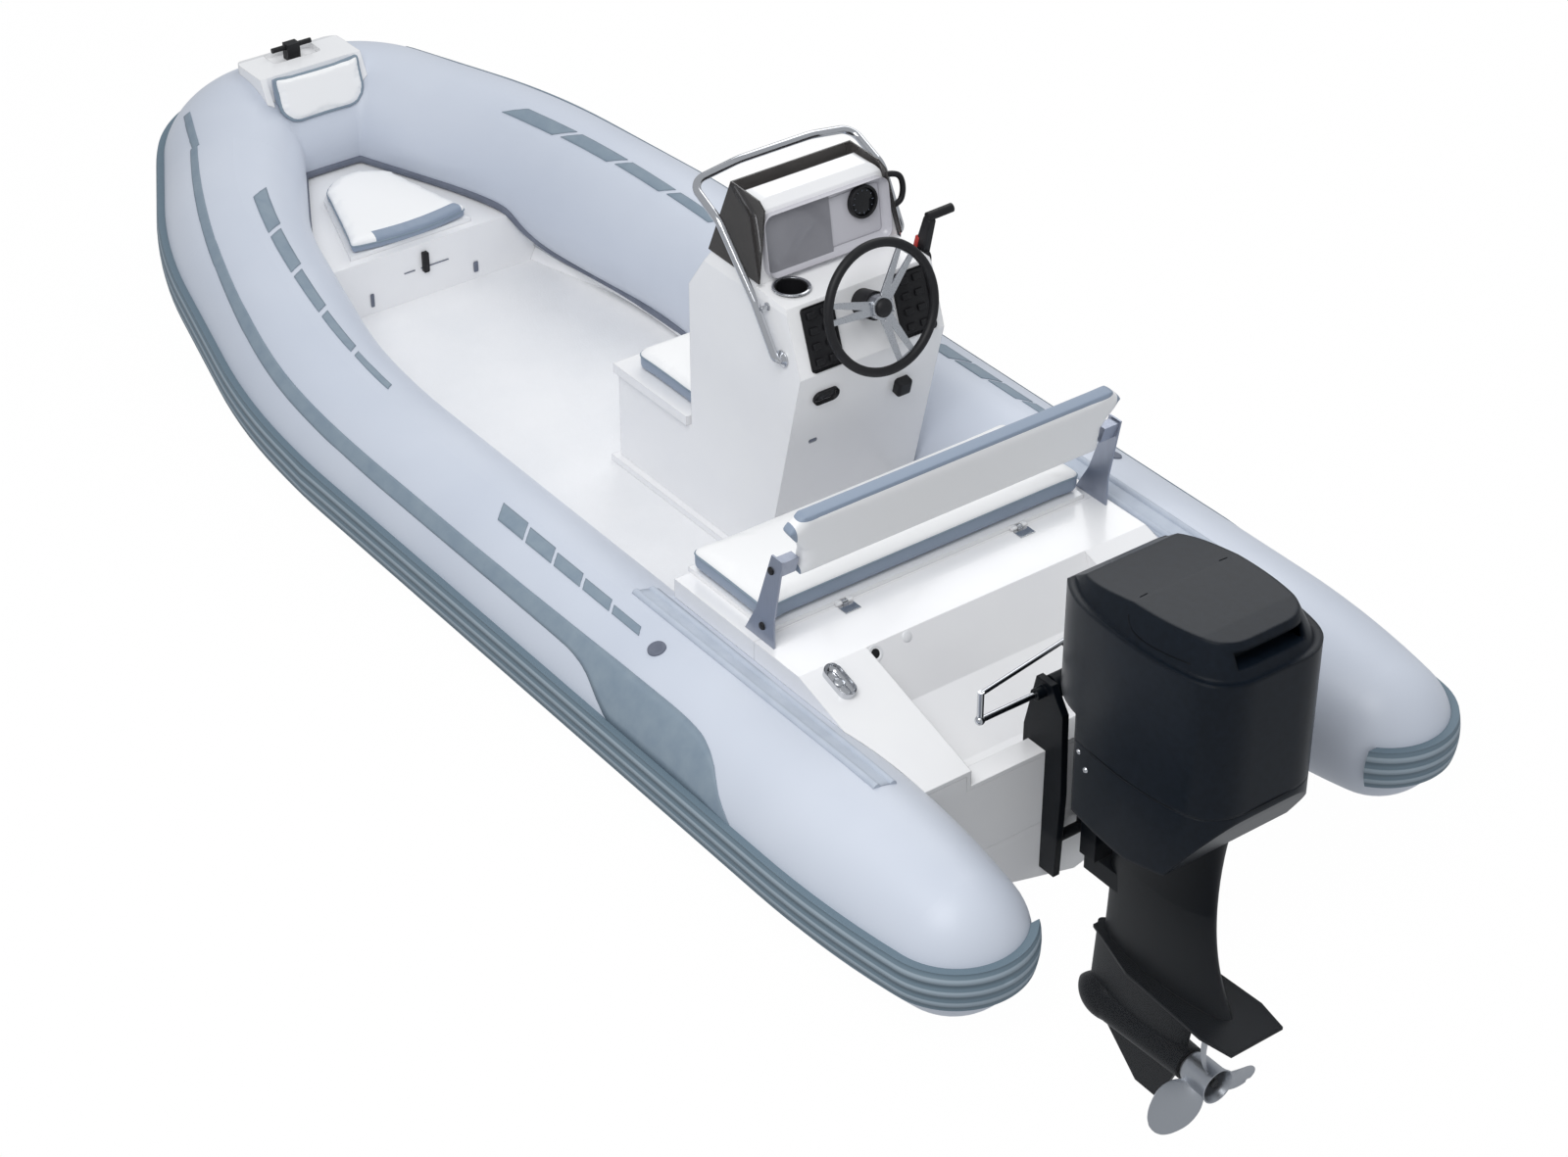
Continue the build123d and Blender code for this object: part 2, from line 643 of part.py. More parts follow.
def build_bow_cleat():
    """A cleat in the step's recess: a square stem with a round horn to each side."""
    z0 = BOW_STEP_TOP_Z - CLEAT_RECESS_DEPTH + SEAT_GAP
    x = BOW_TUBE_X - 5
    middle = z0 + CLEAT_STANDOFF + CLEAT_HORN_R
    stem = box(x - 18, x + 18, -24, 24, z0, middle + CLEAT_HORN_R + 3)
    horn = Pos(x, 0, middle) * Rot(90, 0, 0) * Cylinder(CLEAT_HORN_R, CLEAT_LENGTH)
    return stem + horn


def build_bow_latch():
    x = BOW_LOCKER_AFT_X
    half = LATCH_HEIGHT / 2
    plate = box(x - 14, x, LATCH_Y - 11, LATCH_Y + 11, LATCH_Z - half, LATCH_Z + half)
    return fillet(plate.edges().filter_by(Axis.X), 5)


# Console


def console_profile():
    """Side outline of the console without its windshield, on the plane of its port side."""
    foot = SOLE_Z + SEAT_GAP
    points = [
        (SEAT_FRONT_X, foot), (SEAT_FRONT_X, SEAT_TOP_Z), (CONSOLE_FRONT_X, SEAT_TOP_Z), (CONSOLE_FRONT_X, 850),
        (1655, 1000), (1590, DASH_TOP_Z - 18), (1560, DASH_TOP_Z), (1492, DASH_TOP_Z),
        (DASH_FACE_TOP_X, DASH_FACE_TOP_Z), (DASH_FACE_X, DASH_SHELF_Z), (SHELF_AFT_X, DASH_SHELF_Z - 8),
        (1217, 779), (1339, 257), (1380, foot),
    ]
    return make_face(Polyline(*[(x, CONSOLE_PORT_Y, z) for x, z in points], close=True))


def hood_half_width(z):
    """The console's half width, which narrows above its waist."""
    share = max(z - HOOD_WAIST_Z, 0) / (DASH_TOP_Z - HOOD_WAIST_Z)
    return CONSOLE_WIDTH / 2 - share * HOOD_NARROWING


def console_front(grow=0, top_z=DASH_TOP_Z):
    """Outline of the console seen from ahead, as a long block to cross with the side outline."""
    middle = CONSOLE_PORT_Y - CONSOLE_WIDTH / 2
    half = [(hood_half_width(z) + grow, z) for z in (0, HOOD_WAIST_Z, top_z)]
    points = [(0, middle + y, z) for y, z in half] + [(0, middle - y, z) for y, z in reversed(half)]
    block = extrude(make_face(Polyline(*points, close=True)), 2 * SEAT_FRONT_X, dir=(1, 0, 0))
    return block


def rounded_front(grow=0):
    """The same outline with the hood's two top corners rounded."""
    block = console_front(grow, DASH_TOP_Z + grow)
    top_edges = block.edges().filter_by(Axis.X).sort_by(Axis.Z)[-2:]
    return fillet(top_edges, HOOD_CORNER_R)


def console_body(shrink=0):
    """The moulding as a solid, or the space inside its walls."""
    face = offset(console_profile(), -shrink, kind=Kind.INTERSECTION) if shrink else console_profile()
    block = extrude(face, CONSOLE_WIDTH, dir=(0, -1, 0))
    return block & rounded_front(-shrink)


def build_console():
    """The hollow helm moulding: seat box in front, dash and shelf aft, open underneath."""
    stbd_y = CONSOLE_PORT_Y - CONSOLE_WIDTH
    outer = console_body()
    inner = console_body(CONSOLE_WALL)
    mouth = box(CONSOLE_FRONT_X + 50, SEAT_FRONT_X - 50, stbd_y + 50, CONSOLE_PORT_Y - 50,
                SEAT_TOP_Z - 60, SEAT_TOP_Z + 1)
    cup = Pos(CUP_X, CUP_Y, DASH_SHELF_Z - CUP_DEPTH / 2 + 5) * Cylinder(CUP_R, CUP_DEPTH + 10)
    plinth = box(1370, SEAT_FRONT_X + 22, stbd_y - 22, CONSOLE_PORT_Y + 22, SOLE_Z + SEAT_GAP, SOLE_Z + 22)
    plinth = plinth - box(1392, SEAT_FRONT_X - 12, stbd_y + 12, CONSOLE_PORT_Y - 12, 0, 200)
    return outer - inner - mouth - cup + plinth


def build_console_lid():
    stbd_y = CONSOLE_PORT_Y - CONSOLE_WIDTH
    z0 = SEAT_TOP_Z + SEAT_GAP
    return box(CONSOLE_FRONT_X + 10, SEAT_FRONT_X + 12, stbd_y - 12, CONSOLE_PORT_Y + 12, z0, z0 + 32)


def build_console_cushion():
    stbd_y = CONSOLE_PORT_Y - CONSOLE_WIDTH
    z0 = SEAT_TOP_Z + 2 * SEAT_GAP + 32
    block = box(CONSOLE_FRONT_X + 14, SEAT_FRONT_X - 30, stbd_y + 20, CONSOLE_PORT_Y - 20, z0, z0 + 62)
    return fillet(block.edges().filter_by(Axis.Z), 40)


def build_windshield():
    """Smoked screen wrapped round the front and sides of the dash."""
    outline = [(1664, 1006), (1612, 1232), (1478, 1226), (1446, 1208), (1418, 1000)]
    inside = [(x - SCREEN_THICKNESS, z) for x, z in outline[:2]] + [(1400, 1300), (1400, 900), (1659, 900)]
    y0, y1 = CONSOLE_PORT_Y - CONSOLE_WIDTH - 50, CONSOLE_PORT_Y + 50
    outer = side_profile(outline, y0, y1) & console_front(SEAT_GAP + SCREEN_THICKNESS, DASH_TOP_Z + 60)
    inner = side_profile(inside, y0, y1) & console_front(SEAT_GAP, DASH_TOP_Z + 60)
    hood = extrude(console_profile(), CONSOLE_WIDTH, dir=(0, -1, 0)) & console_front(SEAT_GAP)
    return max((outer - inner - hood).solids(), key=lambda solid: solid.volume)


def console_cutter(grow):
    return extrude(console_profile(), CONSOLE_WIDTH, dir=(0, -1, 0))


def build_console_rail():
    """Stainless hand rail up one side, over the windshield and down the other, with turned-in feet."""
    middle = CONSOLE_PORT_Y - CONSOLE_WIDTH / 2
    face = CONSOLE_WIDTH / 2 + SEAT_GAP
    leg = face + RAIL_STANDOFF
    sides = [(1400, leg, 960), (1560, leg + 6, 1150), (1702, leg + 2, 1212), (1690, 130, 1242)]
    port = [(1300, face, 815), (1300, leg, 815)] + sides
    stbd = sides[::-1][:3] + [(1455, leg, 984), (1455, face, 984)]
    points = [(x, middle + y, z) for x, y, z in port] + [(x, middle - y, z) for x, y, z in stbd]
    path = FilletPolyline(*points, radius=[18, 70, 70, 45, 200, 200, 45, 70, 18])
    return sweep(Plane(origin=points[0], z_dir=(0, 1, 0)) * Circle(RAIL_R), path=path)


def dash_plane(y, z):
    """A place on the dash's aft face: x to starboard, y up the face, z aft."""
    rise = DASH_FACE_TOP_Z - DASH_SHELF_Z
    run = DASH_FACE_TOP_X - DASH_FACE_X
    x = DASH_FACE_X + run * (z - DASH_SHELF_Z) / rise
    return Plane(origin=(x, y, z), x_dir=(0, -1, 0), z_dir=(-rise, 0, run))


def build_instrument_panel():
    plane = dash_plane(PANEL_Y, PANEL_Z)
    face = plane * Pos(0, 0, SEAT_GAP) * RectangleRounded(PANEL_WIDTH, PANEL_HEIGHT, 8)
    return extrude(face, 6, dir=plane.z_dir)


def build_compass():
    """A round instrument with a raised bezel."""
    plane = dash_plane(COMPASS_Y, COMPASS_Z)
    body = extrude(plane * Pos(0, 0, SEAT_GAP) * Circle(COMPASS_R), 14, dir=plane.z_dir)
    dish = extrude(plane * Pos(0, 0, SEAT_GAP + 9) * Circle(COMPASS_R - 7), 10, dir=plane.z_dir)
    return body - dish


def build_wheel():
    """Rim, three split spokes and a hub, with the wheel's axis raked up and aft."""
    rim = Torus(WHEEL_R - WHEEL_RIM_R, WHEEL_RIM_R)
    hub = Pos(0, 0, -10) * Cylinder(36, 36)
    reach = WHEEL_R - WHEEL_RIM_R
    plate = make_face(Polyline((24, 20), (reach, 34), (reach, -34), (24, -20), close=True))
    slot = make_face(Polyline((66, 0), (reach - 16, 17), (reach - 16, -17), close=True))
    spoke = Pos(0, 0, -SPOKE_THICKNESS) * extrude(plate - slot, SPOKE_THICKNESS)
    for turn in (0, 120, 240):
        hub = hub + Rot(0, 0, SPOKE_TURN + turn) * spoke
    return rim, hub - rim


def wheel_frame():
    return Plane(origin=(WHEEL_HUB_X, CONSOLE_PORT_Y - CONSOLE_WIDTH / 2, WHEEL_HUB_Z), x_dir=(0, -1, 0),
                 z_dir=(-math.cos(math.radians(WHEEL_RAKE)), 0, math.sin(math.radians(WHEEL_RAKE))))


def build_helm():
    """The bezel and shaft housing between the console and the wheel's hub."""
    frame = wheel_frame()
    tube = extrude(frame * Pos(0, 0, -95) * Circle(42), 66)
    return tube - console_cutter(0.3)


def build_throttle():
    """Side-mounted control: a round-cornered base, a lever and a grip that points outboard."""
    y = CONSOLE_PORT_Y - CONSOLE_WIDTH - SEAT_GAP
    base = fillet(box(1325, 1405, y - 34, y, 870, 965).edges().filter_by(Axis.Y), 20)
    lever = bar((1368, y - 26, 930), (1332, y - 30, 1080), 11)
    grip = bar((1332, y - 20, 1080), (1330, y - 108, 1084), 14)
    return base + lever + grip


# Outboard motor


def motor_plate(points, half):
    return side_profile(points, -half, half)


def build_clamp_bracket():
    """Two cheeks that hook over the transom, joined by the hollow tilt tube."""
    saddle = TRANSOM_PAD_Z + DECK_WALL + SEAT_GAP
    hook = TRANSOM_THICKNESS + DECK_WALL + 3 * SEAT_GAP
    cheek = side_profile(
        [(-SEAT_GAP, saddle), (hook, saddle), (hook, saddle - 70), (hook + 20, saddle - 70),
         (hook + 20, saddle + 40), (50, TILT_Z + 32), (-10, TILT_Z + 32), (-60, TILT_Z - 40), (-70, 150),
         (-60, CLAMP_FOOT_Z), (-SEAT_GAP, CLAMP_FOOT_Z)], CLAMP_HALF_WIDTH - 22, CLAMP_HALF_WIDTH)
    tube = Cylinder(TILT_TUBE_R, 2 * CLAMP_HALF_WIDTH + 60)
    bore = Pos(TILT_X, 0, TILT_Z) * Rot(90, 0, 0) * Cylinder(RAM_R + RUNNING_GAP, 400)
    return cheek + to_starboard(cheek) + Pos(TILT_X, 0, TILT_Z) * Rot(90, 0, 0) * tube - bore


def build_swivel_bracket():
    """The casting that swings on the tilt tube and carries the steering shaft."""
    half = CLAMP_HALF_WIDTH - 22 - 5
    eye = Pos(TILT_X, 0, TILT_Z) * Rot(90, 0, 0) * Cylinder(34, 2 * half)
    front = STEER_X + 33
    aft = STEER_X - 27
    body = side_profile([(TILT_X - 20, TILT_Z + 20), (TILT_X - 20, TILT_Z - 30), (front, TILT_Z - 60),
                         (front, SWIVEL_FOOT_Z), (aft, SWIVEL_FOOT_Z), (aft, TILT_Z - 20), (-100, TILT_Z + 20)],
                        -60, 60)
    x, z = TILT_EYE
    lug = side_profile([(front - 10, z - 22), (x + 14, z - 14), (x + 14, z + 14), (front - 10, z + 22)], 16, 24)
    bore = Pos(TILT_X, 0, TILT_Z) * Rot(90, 0, 0) * Cylinder(TILT_TUBE_R + RUNNING_GAP, 400)
    shaft = Pos(STEER_X, 0, 190) * Cylinder(STEER_SHAFT_R + RUNNING_GAP, 700)
    return eye + body + lug + to_starboard(lug) - bore - shaft


def cowl_plan(inset=0):
    """The cowl seen from above: a narrow front, full sides and a flat back with soft corners."""
    half = [(-8, 0), (-44, 122), (-132, 194), (-262, 223), (-420, COWL_HALF_WIDTH), (-565, 214), (-650, 180),
            (-686, 122), (-692, 55)]
    points = half + [(x, -y) for x, y in reversed(half[1:])]
    middle, reach = -350, 342
    along, across = 1 - inset / reach, 1 - inset / COWL_HALF_WIDTH
    return make_face(Spline(*[(middle + (x - middle) * along, y * across) for x, y in points], periodic=True))


def cowl_block():
    """The cowl's outer form: a full body to the shoulder, and a smaller cap with sloping sides above it."""
    side = motor_plate([(0, 560), (-26, 760), (-70, 868), (-140, 920), (-340, 955), (-560, COWL_CAP_Z),
                        (-700, COWL_CAP_Z), (-700, 462), (-664, 405), (-560, 250), (-420, 225), (-205, 240),
                        (-200, 545), (-60, 545)], 260)
    body = extrude(Pos(0, 0, 200) * cowl_plan(), COWL_SHOULDER_Z - 200)
    cap = loft([Pos(0, 0, COWL_SHOULDER_Z - 30) * cowl_plan(6), Pos(0, 0, COWL_CAP_Z + 12) * cowl_plan(62)], ruled=True)
    vent = box(-720, -604, -112, 112, COWL_SHOULDER_Z + 22, COWL_CAP_Z - 22)
    return ((body + cap) & side) - vent


def build_cowls(leg):
    """Upper cowl and lower cowl, both hollow, parted along a level joint."""
    solid = cowl_block()
    shell = solid - scale_about(solid, 1 - COWL_WALL_SHARE)
    lower = shell & box(-800, 100, -300, 300, 0, COWL_JOINT_Z - SEAT_GAP)
    upper = shell & box(-800, 100, -300, 300, COWL_JOINT_Z, 1100)
    return upper, lower - leg


def scale_about(shape, factor):
    """The shape made smaller about its own centre."""
    centre = shape.center()
    rest = 1 - factor
    return Pos(centre.X * rest, centre.Y * rest, centre.Z * rest) * scale(shape, factor)


def build_powerhead():
    """The engine as one plain block on top of the leg."""
    return box(-450, -225, -105, 105, 330 + SEAT_GAP, 790)


def build_midsection():
    """The leg from the lower cowl down to the gearcase, with the lower yoke on the steering shaft."""
    stations = ((PLATE_Z + 5.3, 56, -145, -640), (-170, 56, -152, -575), (20, 62, -158, -545),
                (180, 80, -170, -548), (330, 110, -215, -570))
    sections = []
    for z, half, front, aft in stations:
        sections.append(Pos((front + aft) / 2, 0, z) * Ellipse((front - aft) / 2, half))
    yoke = box(-260, STEER_X + STEER_SHAFT_R + 12, -42, 42, SWIVEL_FOOT_Z - 62, SWIVEL_FOOT_Z - 2)
    shaft = Pos(STEER_X, 0, SWIVEL_FOOT_Z) * Cylinder(STEER_SHAFT_R + SEAT_GAP, 200)
    return loft(sections) + yoke - shaft


def build_gearcase():
    """Anti-ventilation plate, strut, torpedo and skeg."""
    outline = mirrored([(-130, 36), (-330, 96), (-640, 112), (-742, 92)])
    plate = plan_profile(outline, PLATE_Z - 5, PLATE_Z + 5)
    strut = loft([Pos(-290, 0, PROP_Z + 5) * Ellipse(195, 28), Pos(-318, 0, PLATE_Z) * Ellipse(202, 50)])
    torpedo = revolve(make_face(Wire([
        Line((-505, 0), (-505, 50)), Line((-505, 50), (-200, 60)), ThreePointArc((-200, 60), (-95, 42), (-55, 0)),
        Line((-55, 0), (-505, 0)),
    ])), axis=Axis.X)
    torpedo = Pos(0, 0, PROP_Z) * Rot(90, 0, 0) * torpedo
    skeg = motor_plate([(-110, PROP_Z - 20), (-480, PROP_Z - 20), (-400, SKEG_TIP_Z), (-309, SKEG_TIP_Z)], 7)
    shaft = bar((-500, 0, PROP_Z), (PROP_X - 40, 0, PROP_Z), PROP_SHAFT_R)
    return strut + torpedo + skeg + plate + shaft


def build_hub():
    """The propeller's hollow barrel: solid round the shaft in front, open aft with a flared lip."""
    front = PROP_X + HUB_LENGTH / 2
    aft = front - HUB_LENGTH
    shaft_r = PROP_SHAFT_R + RUNNING_GAP
    outline = [(front, shaft_r), (front, HUB_R - 6), (front - 20, HUB_R - 2), (aft + 22, HUB_R), (aft, HUB_R + 6),
               (aft, HUB_R + 1), (aft + 24, HUB_BORE_R), (front - 34, HUB_BORE_R - 2), (front - 34, shaft_r)]
    turned = revolve(make_face(Polyline(*outline, close=True)), axis=Axis.X)
    return Pos(0, 0, PROP_Z) * turned


def blade_section(radius, chord, thickness, sweep_back):
    """A thin lens across the blade at one radius, set to the propeller's pitch there."""
    pitch = math.degrees(math.atan(PROP_PITCH / (2 * math.pi * radius)))
    return Pos(-sweep_back, 0, radius) * Rot(0, 0, 90 + pitch) * Ellipse(chord / 2, thickness / 2)


def build_blade():
    """One blade, lofted from its root in the hub out to a rounded tip."""
    t = BLADE_THICKNESS
    stations = ((HUB_R - 4, 72, t), (HUB_R + 42, 122, 0.8 * t), (0.67 * PROP_R, 142, 0.6 * t),
                (0.86 * PROP_R, 118, 0.45 * t), (0.96 * PROP_R, 74, 0.35 * t), (PROP_R, 24, 0.25 * t))
    sections = [blade_section(radius, chord, thick, 0.04 * (radius - HUB_R)) for radius, chord, thick in stations]
    return loft(sections, ruled=True)


def build_propeller():
    """Hub and three broad blades."""
    blades = [Pos(PROP_X, 0, PROP_Z) * Rot(BLADE_TURN + turn, 0, 0) * build_blade() for turn in (0, 120, 240)]
    return build_hub().fuse(*blades)


def build_steering_arm():
    """Steering shaft, the arm forward over the tilt tube and the upper yoke aft to the powerhead."""
    z = TILT_Z + 62
    arm = box(STEER_X, STEER_X + ARM_REACH, -16, 16, z, z + 14)
    low = SWIVEL_FOOT_Z - 62
    shaft = Pos(STEER_X, 0, (low + z + 14) / 2) * Cylinder(STEER_SHAFT_R, z + 14 - low)
    yoke = box(-199, STEER_X, -45, 45, TILT_Z + 24, z + 14)
    return arm + shaft + yoke


def build_ram():
    """The steering rod that slides through the tilt tube, with its ball."""
    rod = bar((TILT_X, -60, TILT_Z), (TILT_X, RAM_END_Y, TILT_Z), RAM_R)
    ball = Pos(TILT_X, RAM_END_Y, TILT_Z) * Sphere(14)
    return rod + ball


def build_link():
    """Drag link from the rod's ball to the steering arm."""
    z = TILT_Z + 85
    a = (TILT_X, RAM_END_Y, z)
    b = (STEER_X + ARM_REACH - 14, 0, z)
    end = Pos(TILT_X, RAM_END_Y, (TILT_Z + z) / 2 + 10) * Cylinder(9, z - TILT_Z - 8)
    return bar(a, b, 7) + end


def build_tilt_cylinder():
    """Barrel and rod of the tilt cylinder between the clamp bracket's cheeks."""
    foot = Vector(TILT_FOOT[0], 0, TILT_FOOT[1])
    eye = Vector(TILT_EYE[0], 0, TILT_EYE[1])
    along = (eye - foot).normalized()
    mouth = foot + along * TILT_BARREL
    width = 2 * (CLAMP_HALF_WIDTH - 22 - RUNNING_GAP)
    barrel = bar(tuple(foot), tuple(mouth), 26) + Pos(foot) * Rot(90, 0, 0) * Cylinder(16, width)
    bore = bar(tuple(foot + along * 10), tuple(mouth + along), 10 + RUNNING_GAP)
    rod = bar(tuple(foot + along * 30), tuple(eye), 10)
    ring = Pos(eye) * Rot(90, 0, 0) * Cylinder(15, 26)
    return barrel - bore, rod + ring


def make_all():
    tubes = grown_tubes(SEAT_GAP)
    coaming = grown_tubes(COAMING_THICKNESS)
    beside_coaming = grown_tubes(COAMING_THICKNESS + SEAT_GAP)
    port_tube = build_side_tube()
    nodes["tube_port"] = port_tube
    nodes["tube_starboard"] = to_starboard(port_tube)
    nodes["tube_bow"] = build_bow_tube()
    side, bow = build_strakes()
    nodes["strake_port"] = side
    nodes["strake_starboard"] = to_starboard(side)
    nodes["strake_bow"] = bow
    nodes["hull"] = build_hull(tubes)
    nodes["cockpit_sole"] = build_liner(tubes, coaming)
    nodes["transom"] = inner_solid(without(build_transom(), tubes))
    nodes["aft_deck"] = inner_solid(without(build_aft_deck(), tubes))
    nodes["bench_base"] = build_bench_base(tubes, beside_coaming)
    nodes["bench_lid"] = build_bench_lid().fuse(*build_lid_knuckles())
    nodes["bench_cushion"] = build_bench_cushion()
    nodes["bench_hinge_port"] = build_bench_hinge(309)
    nodes["bench_hinge_starboard"] = build_bench_hinge(-309)
    nodes["backrest"] = build_backrest()
    bracket = build_backrest_bracket()
    nodes["backrest_bracket_port"] = bracket
    nodes["backrest_bracket_starboard"] = to_starboard(bracket)
    nodes["bow_locker"] = build_bow_locker(tubes)
    nodes["bow_locker_lid"] = build_bow_lid()
    nodes["bow_cushion"] = build_bow_cushion()
    nodes["bow_step"] = build_bow_step(tubes, bow)
    nodes["bow_pad"] = build_bow_pad(tubes)
    nodes["bow_cleat"] = build_bow_cleat()
    nodes["bow_latch"] = build_bow_latch()
    nodes["console"] = build_console()
    nodes["console_seat_lid"] = build_console_lid()
    nodes["console_seat_cushion"] = build_console_cushion()
    nodes["windshield"] = build_windshield()
    nodes["console_rail"] = build_console_rail()
    nodes["instrument_panel"] = build_instrument_panel()
    nodes["compass"] = build_compass()
    rim, spokes = build_wheel()
    nodes["wheel_rim"] = wheel_frame() * rim
    nodes["wheel_spokes"] = wheel_frame() * spokes
    nodes["helm_housing"] = build_helm()
    nodes["throttle"] = build_throttle()
    nodes["clamp_bracket"] = build_clamp_bracket()
    nodes["swivel_bracket"] = build_swivel_bracket()
    leg = build_midsection()
    upper, lower = build_cowls(leg)
    nodes["cowl_upper"] = upper
    nodes["cowl_lower"] = lower
    nodes["powerhead"] = build_powerhead()
    nodes["midsection"] = leg
    nodes["gearcase"] = build_gearcase()
    nodes["propeller"] = build_propeller()
    nodes["steering_arm"] = build_steering_arm()
    nodes["steering_ram"] = build_ram()
    nodes["drag_link"] = build_link()
    barrel, rod = build_tilt_cylinder()
    nodes["tilt_barrel"] = barrel
    nodes["tilt_rod"] = rod


make_all()
for name, shape in nodes.items():
    export_step(shape, f"parts/{name}.step")
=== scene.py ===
"""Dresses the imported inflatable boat: finishes, upholstery, tube graphics, deck, helm and motor fittings."""

import bpy
import json
import math
from mathutils import Matrix, Vector

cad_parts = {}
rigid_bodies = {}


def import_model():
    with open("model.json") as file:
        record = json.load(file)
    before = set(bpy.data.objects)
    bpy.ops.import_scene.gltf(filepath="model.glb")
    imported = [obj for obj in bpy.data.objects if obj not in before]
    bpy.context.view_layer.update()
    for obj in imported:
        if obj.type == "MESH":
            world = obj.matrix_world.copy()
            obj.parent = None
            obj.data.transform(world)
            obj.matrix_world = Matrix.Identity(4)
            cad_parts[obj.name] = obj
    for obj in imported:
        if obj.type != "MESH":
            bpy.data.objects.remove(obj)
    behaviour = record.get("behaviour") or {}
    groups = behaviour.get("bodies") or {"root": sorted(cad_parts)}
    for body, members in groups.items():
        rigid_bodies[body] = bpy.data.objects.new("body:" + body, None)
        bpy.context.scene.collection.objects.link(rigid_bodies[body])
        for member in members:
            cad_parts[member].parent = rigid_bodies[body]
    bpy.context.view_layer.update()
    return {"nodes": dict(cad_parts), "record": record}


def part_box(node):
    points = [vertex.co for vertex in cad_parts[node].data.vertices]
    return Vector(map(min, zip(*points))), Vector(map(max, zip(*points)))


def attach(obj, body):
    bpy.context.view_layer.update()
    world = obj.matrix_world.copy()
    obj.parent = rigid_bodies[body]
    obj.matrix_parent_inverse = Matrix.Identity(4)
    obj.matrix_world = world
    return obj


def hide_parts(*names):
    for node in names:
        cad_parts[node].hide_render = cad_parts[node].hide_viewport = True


for leftover in list(bpy.data.objects):
    bpy.data.objects.remove(leftover)
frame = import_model()
nodes = frame["nodes"]
bpy.ops.object.select_all(action="DESELECT")

# Sizes taken from the boat's own drawing, in metres
TUBE_R = 0.24
TUBE_Y = 0.742
TUBE_Z = 0.19
SHEER_X = 2.43
SHEER_RISE = 0.1104
FIRST_BEND_X = 2.78
FIRST_BEND = 0.2126
SECOND_BEND_X = 3.58
SECOND_BEND = 0.5317
CONSOLE_MIDDLE_Y = -0.23
WHEEL_HUB = Vector((1.182, -0.23, 0.947))
WHEEL_RAKE = math.radians(16)


# Materials

# Sockets of the Mix node in its colour form
MIX_COLOUR_A = 6
MIX_COLOUR_B = 7
MIX_COLOUR_RESULT = 2


def linear(colour):
    """An sRGB hex colour as the linear values that a shader takes."""
    parts = [int(colour[i:i + 2], 16) / 255 for i in (0, 2, 4)]
    return tuple(c / 12.92 if c <= 0.04045 else ((c + 0.055) / 1.055) ** 2.4 for c in parts) + (1.0,)


def add_node(tree, kind, inputs=None, **settings):
    """Adds a node with its settings; an input is a value, or the output socket that feeds it."""
    new = tree.nodes.new(kind)
    for name, value in settings.items():
        setattr(new, name, value)
    for name, value in (inputs or {}).items():
        if isinstance(value, bpy.types.NodeSocket):
            tree.links.new(value, new.inputs[name])
        else:
            new.inputs[name].default_value = value
    return new


def new_material(name, roughness, metallic=0.0, ior=1.5, **sockets):
    """An empty finish: its tree, its shader, and the Object coordinates that its patterns read."""
    material = bpy.data.materials.new(name)
    material.use_nodes = True
    tree = material.node_tree
    shader = tree.nodes["Principled BSDF"]
    shader.inputs["Roughness"].default_value = roughness
    shader.inputs["Metallic"].default_value = metallic
    shader.inputs["IOR"].default_value = ior
    for socket, value in sockets.items():
        shader.inputs[socket.replace("_", " ")].default_value = value
    place = add_node(tree, "ShaderNodeTexCoord").outputs["Object"]
    return material, tree, shader, place


def blend_colours(tree, shader, factor, low, high):
    """Base colour that goes from low to high as factor goes from 0 to 1."""
    mix = add_node(tree, "ShaderNodeMix", {"Factor": factor}, data_type="RGBA")
    mix.inputs[MIX_COLOUR_A].default_value = linear(low)
    mix.inputs[MIX_COLOUR_B].default_value = linear(high)
    tree.links.new(mix.outputs[MIX_COLOUR_RESULT], shader.inputs["Base Color"])


def mottle(tree, place, shader, light, dark, size, contrast=0.5):
    """Colour that drifts slowly between two near tones; size is the drift's width in metres."""
    cloud = add_node(tree, "ShaderNodeTexNoise", {"Vector": place, "Scale": 1 / size, "Detail": 3.0})
    ramp = add_node(tree, "ShaderNodeMapRange",
                    {"Value": cloud.outputs["Fac"], "From Min": 0.5 - contrast / 2,
                     "From Max": 0.5 + contrast / 2})
    blend_colours(tree, shader, ramp.outputs["Result"], dark, light)


def grain(tree, shader, height, depth, strength, soft_edge=0.0):
    """Relief from a height pattern, depth in metres, over edges softened by soft_edge metres."""
    bump = add_node(tree, "ShaderNodeBump", {"Height": height, "Distance": depth, "Strength": strength})
    if soft_edge:
        edge = add_node(tree, "ShaderNodeBevel", {"Radius": soft_edge}, samples=4)
        tree.links.new(edge.outputs["Normal"], bump.inputs["Normal"])
    tree.links.new(bump.outputs["Normal"], shader.inputs["Normal"])


def tube_fabric():
    """Coated polyester tube fabric, calendered: satin, with its weave just telling through the coat."""
    material, tree, shader, place = new_material("coated_tube_fabric", 0.42, Sheen_Weight=0.15)
    mottle(tree, place, shader, "D5DBE6", "C9D0DD", 0.6)
    # the 0.5 mm threads are drawn as 3 mm ones, the finest that the picture can hold
    weave = add_node(tree, "ShaderNodeTexWave", {"Vector": place, "Scale": 33.0, "Distortion": 0.4},
                     bands_direction="DIAGONAL")
    grain(tree, shader, weave.outputs["Fac"], 0.0002, 0.12)
    return material


